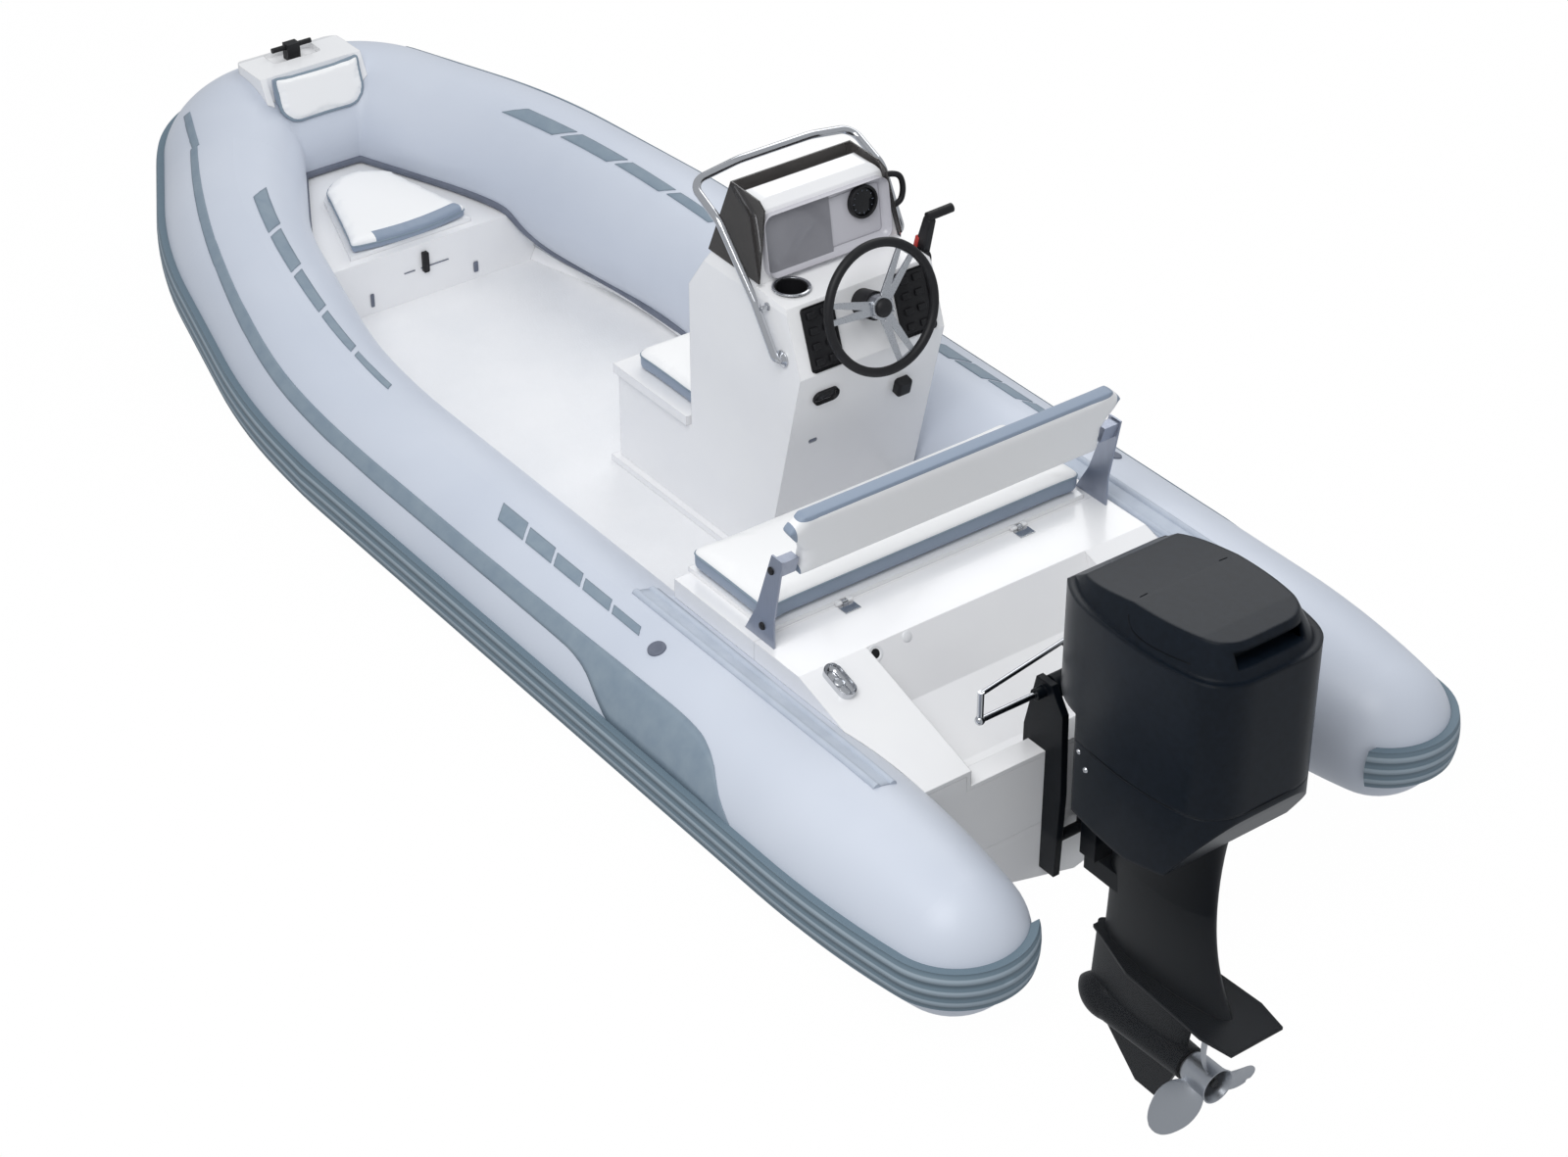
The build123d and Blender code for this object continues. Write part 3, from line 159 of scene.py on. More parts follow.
def strake_level(tree, place):
    """Height above the middle of the rubbing strake, which rises with the sheer towards the bow."""
    parts = add_node(tree, "ShaderNodeSeparateXYZ", {"Vector": place})
    past = add_node(tree, "ShaderNodeMath", {0: parts.outputs["X"], 1: SHEER_X}, operation="SUBTRACT")
    rise = add_node(tree, "ShaderNodeMath", {0: past.outputs[0], 1: 0.0}, operation="MAXIMUM")
    lift = add_node(tree, "ShaderNodeMath", {0: rise.outputs[0], 1: -SHEER_RISE, 2: parts.outputs["Z"]},
                    operation="MULTIPLY_ADD")
    return add_node(tree, "ShaderNodeMath", {0: lift.outputs[0], 1: TUBE_Z}, operation="SUBTRACT").outputs[0]


def strake_rubber():
    """Extruded grey rubber strake: matt, with two long grooves between its ribs; its colour is painted shade
    in the grooves and painted light on the rib crowns.
    """
    material, tree, shader, place = new_material("ribbed_strake_rubber", 0.55)
    level = strake_level(tree, place)
    # one rib every 36 mm
    turns = add_node(tree, "ShaderNodeMath", {0: level, 1: 2 * math.pi / 0.036}, operation="MULTIPLY")
    rib = add_node(tree, "ShaderNodeMath", {0: turns.outputs[0]}, operation="COSINE")
    # painted shade and painted light: the colour darkens down into the grooves and lightens on the rib crowns,
    # following the rib height
    groove_shade_tone = add_node(tree, "ShaderNodeValToRGB", {"Fac": rib.outputs[0]})
    groove_shade_tone.color_ramp.elements[0].position = 0.0
    groove_shade_tone.color_ramp.elements[0].color = linear("6C7F8C")
    groove_shade_tone.color_ramp.elements[1].position = 0.5
    groove_shade_tone.color_ramp.elements[1].color = linear("9AA9B4")
    tree.links.new(groove_shade_tone.outputs["Color"], shader.inputs["Base Color"])
    grain(tree, shader, rib.outputs[0], 0.004, 0.9)
    return material


def gelcoat(name, light, dark, roughness=0.22, soft_edge=0.004):
    """Moulded gelcoat over glass fibre: glossy, faintly uneven, its edges rounded by the mould."""
    material, tree, shader, place = new_material(name, roughness, Coat_Weight=0.25, Coat_Roughness=0.08)
    mottle(tree, place, shader, light, dark, 0.35)
    # the print-through of the glass, about 12 mm across
    print_through = add_node(tree, "ShaderNodeTexNoise", {"Vector": place, "Scale": 80.0, "Detail": 2.0})
    grain(tree, shader, print_through.outputs["Fac"], 0.0004, 0.15, soft_edge)
    return material


def non_skid_gelcoat():
    """Gelcoat sole with moulded non-skid pebbles on its level faces, which take the shine off."""
    material, tree, shader, place = new_material("non_skid_gelcoat", 0.4)
    mottle(tree, place, shader, "F8F8F9", "F0F1F3", 0.3)
    pebble = add_node(tree, "ShaderNodeTexVoronoi", {"Vector": place, "Scale": 170.0})
    up = add_node(tree, "ShaderNodeSeparateXYZ",
                  {"Vector": add_node(tree, "ShaderNodeNewGeometry").outputs["True Normal"]})
    level = add_node(tree, "ShaderNodeMath", {0: up.outputs["Z"], 1: 0.95}, operation="GREATER_THAN")
    height = add_node(tree, "ShaderNodeMath", {0: pebble.outputs["Distance"], 1: level.outputs[0]},
                      operation="MULTIPLY")
    grain(tree, shader, height.outputs[0], 0.001, 0.35)
    return material


def vinyl(name, panel, border):
    """Upholstery vinyl with an embossed leather grain, one colour on the panel and one on the borders."""
    material, tree, shader, place = new_material(name, 0.46, Sheen_Weight=0.12)
    side = add_node(tree, "ShaderNodeAttribute", attribute_name="panel")
    inside = add_node(tree, "ShaderNodeMath", {0: side.outputs["Fac"], 1: 0.0}, operation="GREATER_THAN")
    blend_colours(tree, shader, inside.outputs[0], border, panel)
    # 1.2 mm leather grain, drawn at 3 mm so that it shows
    cells = add_node(tree, "ShaderNodeTexVoronoi", {"Vector": place, "Scale": 330.0},
                     feature="DISTANCE_TO_EDGE")
    grain(tree, shader, cells.outputs["Distance"], 0.0006, 0.3)
    return material


def polished_metal(name, colour, roughness, streak):
    """Polished or brushed metal: streaks along the piece, with roughness that varies a little."""
    material, tree, shader, place = new_material(name, roughness, metallic=1.0)
    shader.inputs["Base Color"].default_value = linear(colour)
    stretch = add_node(tree, "ShaderNodeMapping", {"Vector": place, "Scale": (streak, streak, 12.0)})
    brushed = add_node(tree, "ShaderNodeTexNoise",
                       {"Vector": stretch.outputs["Vector"], "Scale": 1.0, "Detail": 2.0})
    gloss = add_node(tree, "ShaderNodeMapRange",
                     {"Value": brushed.outputs["Fac"], "To Min": roughness * 0.7, "To Max": roughness * 1.4})
    tree.links.new(gloss.outputs["Result"], shader.inputs["Roughness"])
    grain(tree, shader, brushed.outputs["Fac"], 0.0001, 0.1, 0.0015)
    return material


def moulded_plastic(name, light, dark, roughness=0.45, relief=0.25):
    """Injection-moulded plastic or rubber with a fine spark-eroded texture that breaks up its gloss."""
    material, tree, shader, place = new_material(name, roughness, Specular_IOR_Level=0.35)
    mottle(tree, place, shader, light, dark, 0.05)
    # 0.6 mm texture, drawn at 2 mm
    texture = add_node(tree, "ShaderNodeTexNoise", {"Vector": place, "Scale": 500.0, "Detail": 1.0})
    grain(tree, shader, texture.outputs["Fac"], 0.0004, relief, 0.002)
    return material


def motor_paint(name, light, dark, roughness, coat, soft_edge):
    """Sprayed paint under a thin clear coat on the motor: deep and satin, with a soft orange peel."""
    material, tree, shader, place = new_material(name, roughness, Coat_Weight=coat, Coat_Roughness=0.12,
                                                 Specular_IOR_Level=0.16)
    mottle(tree, place, shader, light, dark, 0.02, 0.8)
    peel = add_node(tree, "ShaderNodeTexNoise", {"Vector": place, "Scale": 220.0, "Detail": 1.0})
    grain(tree, shader, peel.outputs["Fac"], 0.0004, 0.12, soft_edge)
    return material


def smoked_acrylic():
    """Smoked acrylic sheet: dark, glossy and part see-through."""
    material, tree, shader, place = new_material("smoked_acrylic", 0.06, ior=1.49, Transmission_Weight=0.55)
    mottle(tree, place, shader, "5A5756", "4C4A49", 0.2)
    haze = add_node(tree, "ShaderNodeTexNoise", {"Vector": place, "Scale": 25.0})
    grain(tree, shader, haze.outputs["Fac"], 0.0002, 0.05, 0.002)
    return material


def dark_display():
    """Instrument panel: satin grey plastic whose tone drifts softly at random, like an unlit screen."""
    material, tree, shader, place = new_material("satin_display_grey", 0.28, Coat_Weight=0.4,
                                                 Coat_Roughness=0.06)
    mottle(tree, place, shader, "8D8D93", "828288", 0.12)
    fine = add_node(tree, "ShaderNodeTexNoise", {"Vector": place, "Scale": 600.0})
    grain(tree, shader, fine.outputs["Fac"], 0.0002, 0.08, 0.0015)
    return material


FABRIC = tube_fabric()
RUBBER = strake_rubber()
GELCOAT = gelcoat("white_gelcoat", "FAFAFA", "F4F4F6")
DASH_GELCOAT = gelcoat("grey_dash_gelcoat", "C9C8CE", "BFBEC5", 0.35, 0.002)
SOLE = non_skid_gelcoat()
CUSHION = vinyl("two_tone_vinyl", "FBFBFB", "8E9CAF")
STEEL = polished_metal("polished_stainless", "C9CBCF", 0.14, 300.0)
SPOKE = polished_metal("brushed_aluminium", "C2C5CA", 0.28, 400.0)
BRONZE_GREY = polished_metal("cast_propeller_alloy", "B2B6BC", 0.36, 150.0)
ANODISED = polished_metal("anodised_grey", "A0A6B4", 0.42, 200.0)
BLACK = moulded_plastic("black_moulded_plastic", "1B1B1E", "131316", 0.5)
RED = moulded_plastic("red_moulded_plastic", "C4423A", "B03530", 0.35)
GREY_BAND = moulded_plastic("grey_band_fabric", "8D9CA8", "8191A0", 0.5, 0.12)
CUFF = moulded_plastic("pale_cuff_rubber", "C3CBD7", "B8C1CE", 0.5, 0.12)
TRIM = moulded_plastic("dark_trim_rubber", "747A88", "676D7C", 0.5, 0.12)
DISPLAY_BLACK = moulded_plastic("black_dial_glass", "17181B", "101114", 0.12, 0.02)
WHITE_PLASTIC = moulded_plastic("white_moulded_plastic", "ECEDEF", "E2E3E6", 0.35, 0.1)
COWL = motor_paint("blue_black_cowl_paint", "131B25", "0B1118", 0.33, 0.04, 0.014)
CASTING = motor_paint("black_painted_casting", "0B1118", "070A0F", 0.4, 0.0, 0.005)
SCREEN = smoked_acrylic()
DISPLAY = dark_display()

FINISH = {
    "tube_fabric": FABRIC, "strake_rubber": RUBBER, "white_gelcoat": GELCOAT, "cushion_vinyl": CUSHION,
    "stainless": STEEL, "black_plastic": BLACK, "smoked_screen": SCREEN, "panel_grey": DISPLAY,
    "cowl_paint": COWL, "motor_casting": CASTING, "propeller_metal": BRONZE_GREY, "spoke_metal": SPOKE,
}
SPECIAL = {"cockpit_sole": SOLE, "backrest_bracket_port": ANODISED, "backrest_bracket_starboard": ANODISED}
for part in frame["record"]["subparts"]:
    solid = nodes[part["node"]]
    solid.data.materials.clear()
    solid.data.materials.append(SPECIAL.get(part["node"], FINISH[part["material_slot"]]))


# Modelling


def only(piece):
    """Selects this piece alone and makes it active."""
    bpy.ops.object.select_all(action="DESELECT")
    piece.select_set(True)
    bpy.context.view_layer.objects.active = piece


def apply_modifier(piece, kind, **settings):
    """Adds a modifier with its settings and applies it."""
    only(piece)
    modifier = piece.modifiers.new(kind.lower(), kind)
    for name, value in settings.items():
        setattr(modifier, name, value)
    bpy.ops.object.modifier_apply(modifier=modifier.name)


def tidy_mesh(piece, smooth=True, angle=40):
    """Merges doubled points, turns the faces outwards and shades by angle."""
    only(piece)
    bpy.ops.object.mode_set(mode="EDIT")
    bpy.ops.mesh.select_all(action="SELECT")
    bpy.ops.mesh.remove_doubles(threshold=0.00005)
    bpy.ops.mesh.normals_make_consistent(inside=False)
    bpy.ops.object.mode_set(mode="OBJECT")
    if smooth:
        bpy.ops.object.shade_smooth_by_angle(angle=math.radians(angle))


def seat(piece, name, material, body):
    """Names a finished piece, gives it its finish and its slot, and lets it ride on its body."""
    piece.name = name
    piece.data.name = name
    piece.data.materials.clear()
    piece.data.materials.append(material)
    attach(piece, body)
    return piece


def shaped_grid(along, across, place):
    """A grid whose points go to place(u, v), with u along it and v across it, both from 0 to 1."""
    bpy.ops.object.select_all(action="DESELECT")
    bpy.ops.mesh.primitive_grid_add(x_subdivisions=along, y_subdivisions=across, size=1)
    piece = bpy.context.object
    for point in piece.data.vertices:
        point.co = place(point.co.x + 0.5, point.co.y + 0.5)
    return piece


def turned(profile, centre, axis, steps=40):
    """A turned piece: profile is (radius, height) pairs, spun round an axis through centre."""
    turn = Vector((0, 0, 1)).rotation_difference(Vector(axis)).to_matrix()
    centre = Vector(centre)
    rows = len(profile) - 1

    def place(u, v):
        radius, height = profile[round(v * rows)]
        angle = 2 * math.pi * u
        return centre + turn @ Vector((radius * math.cos(angle), radius * math.sin(angle), height))

    piece = shaped_grid(steps, rows, place)
    tidy_mesh(piece)
    return piece


def plate(size, centre, normal, corner, edge, up=(0, 0, 1)):
    """A plate with rounded corners: size is width, height and thickness, with its thickness along normal."""
    bpy.ops.object.select_all(action="DESELECT")
    bpy.ops.mesh.primitive_cube_add(size=1)
    piece = bpy.context.object
    piece.scale = size
    bpy.ops.object.transform_apply(location=False, rotation=False, scale=True)
    mesh = piece.data
    bpy.ops.object.mode_set(mode="EDIT")
    bpy.ops.mesh.select_mode(type="EDGE")
    bpy.ops.object.mode_set(mode="OBJECT")
    for line in mesh.edges:
        ends = [mesh.vertices[i].co for i in line.vertices]
        line.select = abs(ends[0].z - ends[1].z) > size[2] / 2
    bpy.ops.object.mode_set(mode="EDIT")
    bpy.ops.mesh.bevel(offset=corner, segments=8)
    bpy.ops.object.mode_set(mode="OBJECT")
    apply_modifier(piece, "BEVEL", width=edge, segments=3, limit_method="ANGLE", angle_limit=math.radians(60))
    out = Vector(normal).normalized()
    side = Vector(up).cross(out).normalized()
    turn = Matrix((side, out.cross(side), out)).transposed().to_4x4()
    piece.data.transform(Matrix.Translation(Vector(centre)) @ turn)
    tidy_mesh(piece, angle=35)
    return piece


def line_of(points, closed=False, onto=None):
    """A smooth line through control points, as a curve object, laid onto a surface first if one is given."""
    curve = bpy.data.curves.new("line", "CURVE")
    curve.dimensions = "3D"
    curve.resolution_u = 8
    spline = curve.splines.new("NURBS")
    spline.points.add(len(points) - 1)
    for control, point in zip(spline.points, points):
        control.co = (*point, 1.0)
    spline.order_u = 3
    spline.use_endpoint_u = not closed
    spline.use_cyclic_u = closed
    piece = bpy.data.objects.new("line", curve)
    bpy.context.scene.collection.objects.link(piece)
    if onto is not None:
        only(piece)
        bpy.ops.object.convert(target="MESH")
        piece = bpy.context.object
        apply_modifier(piece, "SHRINKWRAP", target=onto, wrap_method="NEAREST_SURFACEPOINT",
                       wrap_mode="ON_SURFACE")
        only(piece)
        bpy.ops.object.convert(target="CURVE")
        piece = bpy.context.object
    return piece


def bead(points, radius, closed=False, onto=None):
    """A round bead of this radius along a smooth line."""
    piece = line_of(points, closed, onto)
    piece.data.bevel_depth = radius
    piece.data.bevel_resolution = 4
    piece.data.use_fill_caps = True
    only(piece)
    bpy.ops.object.convert(target="MESH")
    piece = bpy.context.object
    tidy_mesh(piece, angle=60)
    return piece


# Tubes

# How far a patch's points start off the skin, the glue under it and its own thickness
OFF_SKIN = 0.02
GLUE_LINE = 0.0008
PATCH_THICKNESS = 0.0015
PADS_IN_ROW = 5
PAD_SLANT = 0.05


def tube_axis(x):
    """The side tube's axis at a station: its distance from the middle line and its height."""
    y = TUBE_Y - max(0.0, x - FIRST_BEND_X) * FIRST_BEND
    y -= max(0.0, x - SECOND_BEND_X) * (SECOND_BEND - FIRST_BEND)
    return y, TUBE_Z + max(0.0, x - SHEER_X) * SHEER_RISE


def on_tube(x, angle, side, lift=0.0, axis=tube_axis):
    """A point of the side tube's skin; the angle is measured from outboard, up over the top."""
    y, z = axis(x)
    reach = TUBE_R + lift
    bend = math.radians(angle)
    return Vector((x, side * (y + reach * math.cos(bend)), z + reach * math.sin(bend)))


def eased_axis(x):
    """The tube's axis with its bends rounded off, for bands that are glued round them in one sweep."""
    near = [tube_axis(x + 0.09 * i) for i in range(-4, 5)]
    return sum(y for y, z in near) / 9, sum(z for y, z in near) / 9


def along_table(table, x):
    """A value read from a table of (x, value) pairs, on a smooth curve through them."""
    x = min(max(x, table[-1][0]), table[0][0])
    for i, ((x0, v0), (x1, v1)) in enumerate(zip(table, table[1:])):
        if x1 <= x <= x0:
            before = table[max(i - 1, 0)]
            after = table[min(i + 2, len(table) - 1)]
            t = (x - x0) / (x1 - x0)
            m0 = (v1 - before[1]) / (x1 - before[0]) * (x1 - x0)
            m1 = (after[1] - v0) / (after[0] - x0) * (x1 - x0)
            return (v0 * (1 + 2 * t) + m0 * t) * (1 - t) ** 2 + (v1 * (3 - 2 * t) + m1 * (t - 1)) * t * t
    return table[-1][1]


def side_tube(side):
    return nodes["tube_port" if side > 0 else "tube_starboard"]


def glued_patch(tube, name, place, steps, across, material, thickness=PATCH_THICKNESS):
    """Fabric glued to a tube: place(u, v) runs just off the skin, and the patch is drawn down onto it."""
    piece = shaped_grid(steps, across, place)
    apply_modifier(piece, "SHRINKWRAP", target=tube, wrap_method="NEAREST_SURFACEPOINT",
                   wrap_mode="ABOVE_SURFACE", offset=GLUE_LINE)
    tidy_mesh(piece)
    # every patch lies on the upper half of its tube
    if sum(face.normal.z for face in piece.data.polygons) < 0:
        piece.data.flip_normals()
    apply_modifier(piece, "SOLIDIFY", thickness=thickness, offset=1.0)
    return seat(piece, name, material, "boat")


def glued_band(name, side, start, end, low, high, material, thickness=PATCH_THICKNESS, steps=90):
    """A band of fabric glued to the side tube between two tables of angles."""

    def place(u, v):
        x = start + (end - start) * u
        bottom, top = along_table(low, x), along_table(high, x)
        return on_tube(x, bottom + (top - bottom) * v, side, OFF_SKIN, eased_axis)

    glued_patch(side_tube(side), name, place, steps, 6, material, thickness)


# The stripe's edges as (station, angle): two even runs that part into the patch near the stern
STRIPE_LOW = ((3.93, 54), (3.6, 52), (3.3, 48), (3.0, 43), (2.7, 39), (2.4, 37), (2.1, 36.5), (1.6, 36.5),
              (1.15, 36.5), (1.04, 35.5), (0.96, 31), (0.88, 21), (0.82, 14), (0.76, 13.6), (0.26, 13.6))
STRIPE_HIGH = ((3.93, 61), (3.6, 60), (3.3, 57), (3.0, 53), (2.7, 49.5), (2.4, 48.5), (2.1, 48.5),
               (1.6, 48.5), (1.1, 50), (0.7, 51.5), (0.54, 51), (0.46, 47.5), (0.39, 39), (0.33, 26),
               (0.26, 14.2))


def tube_graphics(side, word):
    """The long stripe that widens into a plain patch near the stern."""
    glued_band("stripe_" + word, side, 3.95, 0.26, STRIPE_LOW, STRIPE_HIGH, GREY_BAND, steps=260)


BOW_STRIPE_START = 3.9
BOW_STRIPE_END = 4.141
BOW_STRIPE_Z = 0.58
BOW_STRIPE_OUTER = ((4.141, 0.462), (4.071, 0.490), (4.006, 0.516), (3.9, 0.552))
BOW_STRIPE_INNER = ((4.125, 0.428), (4.036, 0.463), (3.974, 0.488), (3.9, 0.516))


def bow_stripe(side, word):
    """The stripe's last stretch, on the bow tube."""
    def place(u, v):
        x = BOW_STRIPE_START + (BOW_STRIPE_END - 0.016 * v - BOW_STRIPE_START) * u
        outer, inner = along_table(BOW_STRIPE_OUTER, x), along_table(BOW_STRIPE_INNER, x)
        return Vector((x, side * (outer + (inner - outer) * v), BOW_STRIPE_Z))

    glued_patch(nodes["tube_bow"], "bow_stripe_" + word, place, 30, 4, GREY_BAND)


def step_pads(side, word, ends, low, high):
    """A row of slanted tread pads glued to the tube's top, narrowing towards one end."""
    start, end = ends
    pitch = (end - start) / PADS_IN_ROW
    slant = math.copysign(PAD_SLANT, start - end)
    for i in range(PADS_IN_ROW):
        fade = 1 - 0.55 * i / (PADS_IN_ROW - 1)
        x0 = start + pitch * i
        x1 = x0 + pitch * 0.9
        top = low + (high - low) * fade

        def place(u, v):
            x = x0 + (x1 - x0) * u + slant * v * fade
            return on_tube(x, low + (top - low) * v, side, OFF_SKIN, eased_axis)

        glued_patch(side_tube(side), f"tread_{word}_{i + 1}", place, 20, 6, GREY_BAND)


def stern_cuffs(side, word):
    """Two rubber ribs on a flat band where the side deck's flange lies on the tube."""
    level = ((1.06, 94), (0.0, 94))
    top = ((1.06, 116), (0.0, 113))
    glued_band("cuff_band_" + word, side, 1.06, -0.02, level, top, CUFF, 0.002, 60)
    for i, angle in enumerate((97, 110)):
        points = [on_tube(1.06 - 0.27 * k, angle, side, 0.006) for k in range(5)]
        rib = bead(points, 0.011, onto=side_tube(side))
        seat(rib, f"cuff_rib_{word}_{i + 1}", CUFF, "boat")


def deck_trim(side, word):
    """The dark rubber strip between tube and moulding: round the foredeck, down in an S, along the sole."""
    front = [(3.9415, 0.0, 0.309), (3.9415, 0.06, 0.309), (3.9418, 0.108, 0.308), (3.924, 0.121, 0.306),
             (3.866, 0.152, 0.300), (3.787, 0.194, 0.293), (3.708, 0.236, 0.285), (3.606, 0.289, 0.275),
             (3.501, 0.333, 0.266), (3.44, 0.353, 0.26), (3.4, 0.366, 0.248), (3.375, 0.383, 0.215),
             (3.35, 0.405, 0.18), (3.31, 0.437, 0.14), (3.26, 0.47, 0.11), (3.19, 0.491, 0.097)]
    aft = [(3.1, 0.503, 0.094), (2.9, 0.525, 0.094), (2.6, 0.53, 0.094), (2.3, 0.522, 0.094),
           (1.8, 0.522, 0.094), (1.2, 0.522, 0.094), (1.05, 0.522, 0.094)]
    points = [(x, side * y, z) for x, y, z in front + aft]
    seat(bead(points, 0.013), "deck_trim_" + word, TRIM, "boat")


def inflation_valve(side, word):
    """The recessed valve cap on top of the tube."""
    centre = on_tube(0.815, 73, side)
    out = (0, side * 0.29, 0.957)
    profile = [(0.0, 0.003), (0.012, 0.003), (0.015, 0.005), (0.021, 0.0055), (0.026, 0.0035),
               (0.027, -0.002), (0.0, -0.002)]
    seat(turned(profile, centre, out), "valve_" + word, TRIM, "boat")


for side, word in ((1, "port"), (-1, "starboard")):
    tube_graphics(side, word)
    bow_stripe(side, word)
    stern_cuffs(side, word)
    deck_trim(side, word)
    inflation_valve(side, word)
    step_pads(side, "forward_" + word, (3.5, 2.36), 99, 113)
    step_pads(side, "aft_" + word, (1.6, 0.88), 72, 85)


# Upholstery

CLOTH_FRAMES = 20


def swell(piece, cap):
    """Blows the shell up a little with cloth under pressure, no point further than cap from its start."""
    start = [point.co.copy() for point in piece.data.vertices]
    only(piece)
    cloth = piece.modifiers.new("cloth", "CLOTH")
    cloth.settings.use_pressure = True
    cloth.settings.uniform_pressure_force = 4.0
    cloth.settings.effector_weights.gravity = 0.0
    cloth.settings.quality = 4
    cloth.point_cache.frame_start = 1
    cloth.point_cache.frame_end = CLOTH_FRAMES
    for step in range(1, CLOTH_FRAMES + 1):
        bpy.context.scene.frame_set(step)
    bpy.ops.object.modifier_apply(modifier="cloth")
    bpy.context.scene.frame_set(1)
    for point, before in zip(piece.data.vertices, start):
        move = point.co - before
        if move.length > cap:
            point.co = before + move * (cap / move.length)


def upholster(node, name, body, voxel, cap, shrink, panel, base=None, form=None):
    """A stuffed cushion in the space of its plain solid; panel(point) is above zero on the pale face.

    form(point) moves the solid's points to a fuller shape before it is stuffed.
    """
    piece = bpy.data.objects.new(name, nodes[node].data.copy())
    bpy.context.scene.collection.objects.link(piece)
    tidy_mesh(piece, smooth=False)
    low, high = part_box(node)
    middle = (low + high) / 2
    factor = [1 - 2 * s / (h - l) for s, l, h in zip(shrink, low, high)]
    for point in piece.data.vertices:
        point.co = [m + (c - m) * f for c, m, f in zip(point.co, middle, factor)]
    apply_modifier(piece, "REMESH", mode="VOXEL", voxel_size=voxel)
    if form is not None:
        for point in piece.data.vertices:
            point.co = form(point.co.copy())
    apply_modifier(piece, "SMOOTH", factor=0.5, iterations=6)
    swell(piece, cap)
    apply_modifier(piece, "SMOOTH", factor=0.5, iterations=3)
    if base is not None:
        for point in piece.data.vertices:
            point.co.z = max(point.co.z, base)
    apply_modifier(piece, "SUBSURF", levels=1, render_levels=1)
    layer = piece.data.attributes.new("panel", "FLOAT", "POINT")
    for i, point in enumerate(piece.data.vertices):
        layer.data[i].value = panel(point.co)
    only(piece)
    bpy.ops.object.shade_smooth()
    seat(piece, name, CUSHION, body)
    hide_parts(node)
    return piece


def piping(cushion, name, body, points, radius=0.003):
    """The welted seam round a cushion's panel, laid on the finished cushion."""
    only(cushion)
    piece = bead(points, radius, closed=True, onto=cushion)
    return seat(piece, name, GREY_BAND, body)


def rounded_loop(x0, x1, y0, y1, corner, z):
    """Control points of a rectangle with soft corners, at height z."""
    flat = [(x0, y0 + corner), (x0, (y0 + y1) / 2), (x0, y1 - corner), (x0, y1), (x0 + corner, y1),
            ((x0 + x1) / 2, y1), (x1 - corner, y1), (x1, y1), (x1, y1 - corner), (x1, (y0 + y1) / 2),
            (x1, y0 + corner), (x1, y0), (x1 - corner, y0), ((x0 + x1) / 2, y0), (x0 + corner, y0), (x0, y0)]
    return [(x, y, z) for x, y in flat]


BENCH_SEAM = 0.524
SEAT_SEAM = 0.441
BOW_SLOPE = 0.0962
BOW_SEAM = 0.288
BOW_AFT = 3.43
BOW_BULGE = 0.03
PAD_NORMAL = Vector((-math.cos(math.radians(17)), 0, math.sin(math.radians(17))))
PAD_ORIGIN = Vector((4.038, 0, 0.655))
BACK_UP = Vector((-math.sin(math.radians(11)), 0, math.cos(math.radians(11))))


def bench_cushion():
    cushion = upholster("bench_cushion", "bench_seat_cushion", "bench_lid", 0.008, 0.012,
                        (0.008, 0.01, 0.006), lambda p: p.z - BENCH_SEAM, base=0.4675)
    loop = rounded_loop(0.661, 1.024, -0.571, 0.571, 0.05, BENCH_SEAM)
    piping(cushion, "bench_seat_piping", "bench_lid", loop)


def console_cushion():
    cushion = upholster("console_seat_cushion", "console_cushion", "console_lid", 0.006, 0.01,
                        (0.007, 0.008, 0.006), lambda p: p.z - SEAT_SEAM, base=0.3935)
    loop = rounded_loop(1.78, 2.111, -0.464, 0.004, 0.05, SEAT_SEAM)
    piping(cushion, "console_cushion_piping", "console_lid", loop)


def bow_cushion():
    def bulge(y):
        return BOW_BULGE * (1 - (y / 0.235) ** 2)

    def form(p):
        p.x -= max(0.0, bulge(p.y)) * max(0.0, 1 - (p.x - BOW_AFT) / 0.2)
        return p

    def panel(p):
        aft = p.x + bulge(p.y)
        top = p.z - BOW_SLOPE * (p.x - BOW_AFT) - BOW_SEAM
        return min(top, max(aft - 3.478, p.y - 0.135, -0.205 - p.y))

    cushion = upholster("bow_cushion", "foredeck_cushion", "bow_lid", 0.006, 0.008, (0.006, 0.007, 0.004),
                        panel, form=form)
    flat = [(3.406, 0.0), (3.416, 0.15), (3.434, 0.226), (3.47, 0.224), (3.63, 0.185), (3.8, 0.142),
            (3.833, 0.125), (3.834, 0.06), (3.834, -0.06), (3.833, -0.125), (3.8, -0.142), (3.63, -0.185),
            (3.47, -0.224), (3.434, -0.226), (3.416, -0.15)]
    loop = [(x, y, BOW_SEAM + BOW_SLOPE * (x - BOW_AFT)) for x, y in flat]
    piping(cushion, "foredeck_cushion_piping", "bow_lid", loop)


def bow_pad():
    def height(p):
        return (Vector(p) - PAD_ORIGIN).dot(PAD_NORMAL) - 0.03

    cushion = upholster("bow_pad", "bow_backrest", "boat", 0.005, 0.007, (0.006, 0.006, 0.006), height)
    up = Vector((0, 1, 0)).cross(PAD_NORMAL)
    loop = []
    half = ((0.05, -0.006), (0.14, -0.006), (0.158, -0.007), (0.163, -0.012), (0.164, -0.03), (0.164, -0.09),
            (0.158, -0.13), (0.13, -0.16), (0.09, -0.169), (0.03, -0.17))
    for y, rise in half + tuple((-y, rise) for y, rise in reversed(half)):
        loop.append(PAD_ORIGIN + up * rise + Vector((0, y, 0)) + PAD_NORMAL * 0.036)
    piping(cushion, "bow_backrest_piping", "boat", loop, 0.006)


